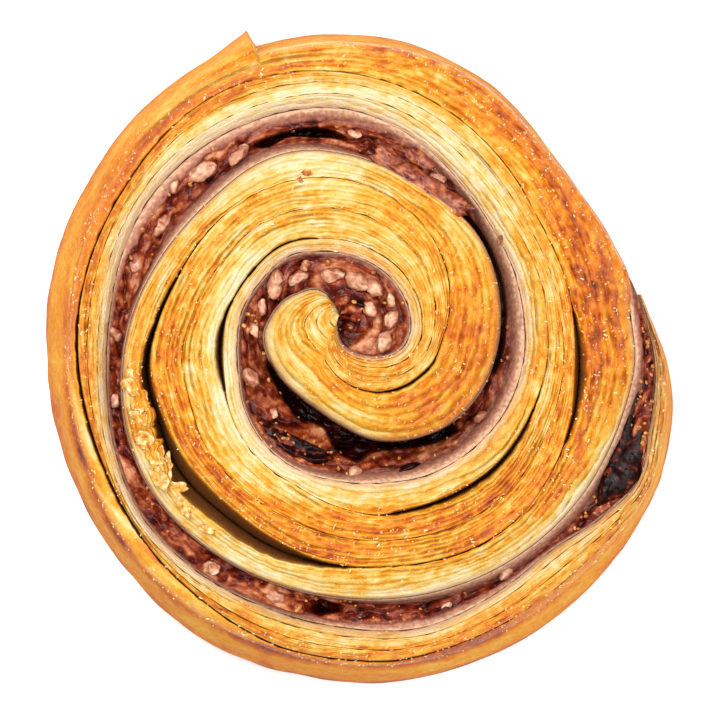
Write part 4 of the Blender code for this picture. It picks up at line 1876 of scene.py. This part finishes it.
DARK_CRUMBS = (
    Scrap(370, 22.4, 3.0, 0.7, 30.2, heading=-70, curl=0.5),
    Scrap(463, 25.4, 1.5, 1.0, 29.6, heading=20),
    Scrap(466, 24.6, 1.0, 0.8, 30.0, heading=70),
    Scrap(385, 30.9, 1.9, 1.1, 25.4, heading=40),
    Scrap(719, 43.4, 1.6, 1.0, 27.2, heading=15),
    Scrap(702, 40.2, 1.3, 0.8, 27.4, heading=-20),
)


# --------------------------------------------------------------------------- the studio


@dataclass(frozen=True)
class SoftBox:
    """A large soft lamp: its place, its side and its power."""

    name: str
    place: tuple[float, float, float]
    side: float
    watts: float
    warmth: tuple[float, float, float] = (1.0, 1.0, 1.0)

    def build(self) -> None:
        """Hangs the lamp, turned to the pastry."""
        lamp = bpy.data.lights.new(self.name, "AREA")
        lamp.size = self.side
        lamp.energy = self.watts
        lamp.color = self.warmth
        hung = shown(self.name, lamp)
        hung.location = self.place
        aim = -hung.location
        hung.rotation_euler = aim.to_track_quat("-Z", "Y").to_euler()


@dataclass(frozen=True)
class Studio:
    """A pale table, soft light from the -X +Y side, and a camera straight above."""

    floor_side: float = 3.0
    camera_height: float = 1.5
    frame_width: float = 0.127
    frame_level: float = 0.012
    look_at: tuple[float, float] = (0.0003, -0.0002)
    lamps: tuple[SoftBox, ...] = (
        SoftBox("key", (-0.34, 0.42, 0.8), 0.5, 9.5, (1.0, 0.98, 0.95)),
        SoftBox("fill", (0.6, -0.3, 0.7), 0.9, 6.0),
        SoftBox("overhead", (0.05, 0.0, 1.2), 0.7, 9.5),
    )
    sky: float = 0.55

    def build(self) -> None:
        """Sets the table, the lamps, the sky and the camera."""
        half = self.floor_side / 2
        mesh = bpy.data.meshes.new("table")
        corners = [(-half, -half, 0), (half, -half, 0), (half, half, 0), (-half, half, 0)]
        mesh.from_pydata(corners, [], [(0, 1, 2, 3)])
        table = shown("table", mesh)
        paint = bpy.data.materials.new("table_paint")
        paint.use_nodes = True
        inputs = paint.node_tree.nodes["Principled BSDF"].inputs
        inputs["Base Color"].default_value = (0.93, 0.93, 0.93, 1)
        inputs["Roughness"].default_value = 0.7
        mesh.materials.append(paint)
        for lamp in self.lamps:
            lamp.build()
        world = bpy.data.worlds.new("studio")
        world.use_nodes = True
        inputs = world.node_tree.nodes["Background"].inputs
        inputs["Color"].default_value = (1, 1, 1, 1)
        inputs["Strength"].default_value = self.sky
        bpy.context.scene.world = world
        camera = bpy.data.cameras.new("camera")
        camera.sensor_width = 36.0
        camera.lens = 36.0 * (self.camera_height - self.frame_level) / self.frame_width
        camera.clip_end = 10.0
        eye = shown("camera", camera)
        eye.location = (*self.look_at, self.camera_height)
        bpy.context.scene.camera = eye
        bpy.context.scene.view_settings.view_transform = "Standard"


# --------------------------------------------------------------------------------- main


def put(piece: bpy.types.Object, slot: str, *nodes: str) -> None:
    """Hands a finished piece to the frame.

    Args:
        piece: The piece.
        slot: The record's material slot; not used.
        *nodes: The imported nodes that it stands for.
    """
    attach(piece, "root")
    if nodes:
        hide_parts(*nodes)
    LOG.info("%s: %d faces", piece.name, len(piece.data.polygons))


def main() -> None:
    """Builds the pastry, its toppings and the studio."""
    logging.basicConfig(level=logging.INFO, format="%(name)s: %(message)s")
    coil = Coil()
    dough = Dough(coil)
    for piece in dough.build():
        put(piece, "baked_dough", "dough")
    filling = Filling(coil)
    put(filling.build(), "fruit_filling", "filling")
    skin = FIG_SKIN.material()
    for name, top, thickness, outline in FIGS:
        put(FigPiece(name + "_skin", top, thickness, outline).build(skin), "fig_skin", name)
    put(NutPieces(filling).build(NUT_FLESH.material()), "fruit_filling")
    seeds = Strewing("fig_seeds", 14.0, 0.9, (1.0, 0.72, 0.5), seed=5)
    put(seeds.build(surface("seed_bed", [filling.strewn]), FIG_SEED.material()), "fruit_filling")
    put(scraps("jam_flap", JAM_FLAP, JAM_SKIN.material()), "fruit_filling")
    put(scraps("golden_flakes", GOLDEN_FLAKES, GOLDEN_FLAKE.material()), "baked_dough")
    put(scraps("burnt_crumbs", DARK_CRUMBS, BURNT_CRUMB.material()), "baked_dough")
    # sugar flakes that are also painted glints on the golden crust
    sugar_and_glints = Strewing("glaze_flakes_and_glints", 60.0, 0.44, (1.3, 0.5, 0.2), seed=9, lift=0.0, boxy=True)
    bed = surface("sugar_and_glint_bed", [sheet.strewn for sheet in dough.sheets])
    put(sugar_and_glints.build(bed, SUGAR_AND_GLINTS.material()), "baked_dough")
    Studio().build()


if __name__ == "__main__":
    main()
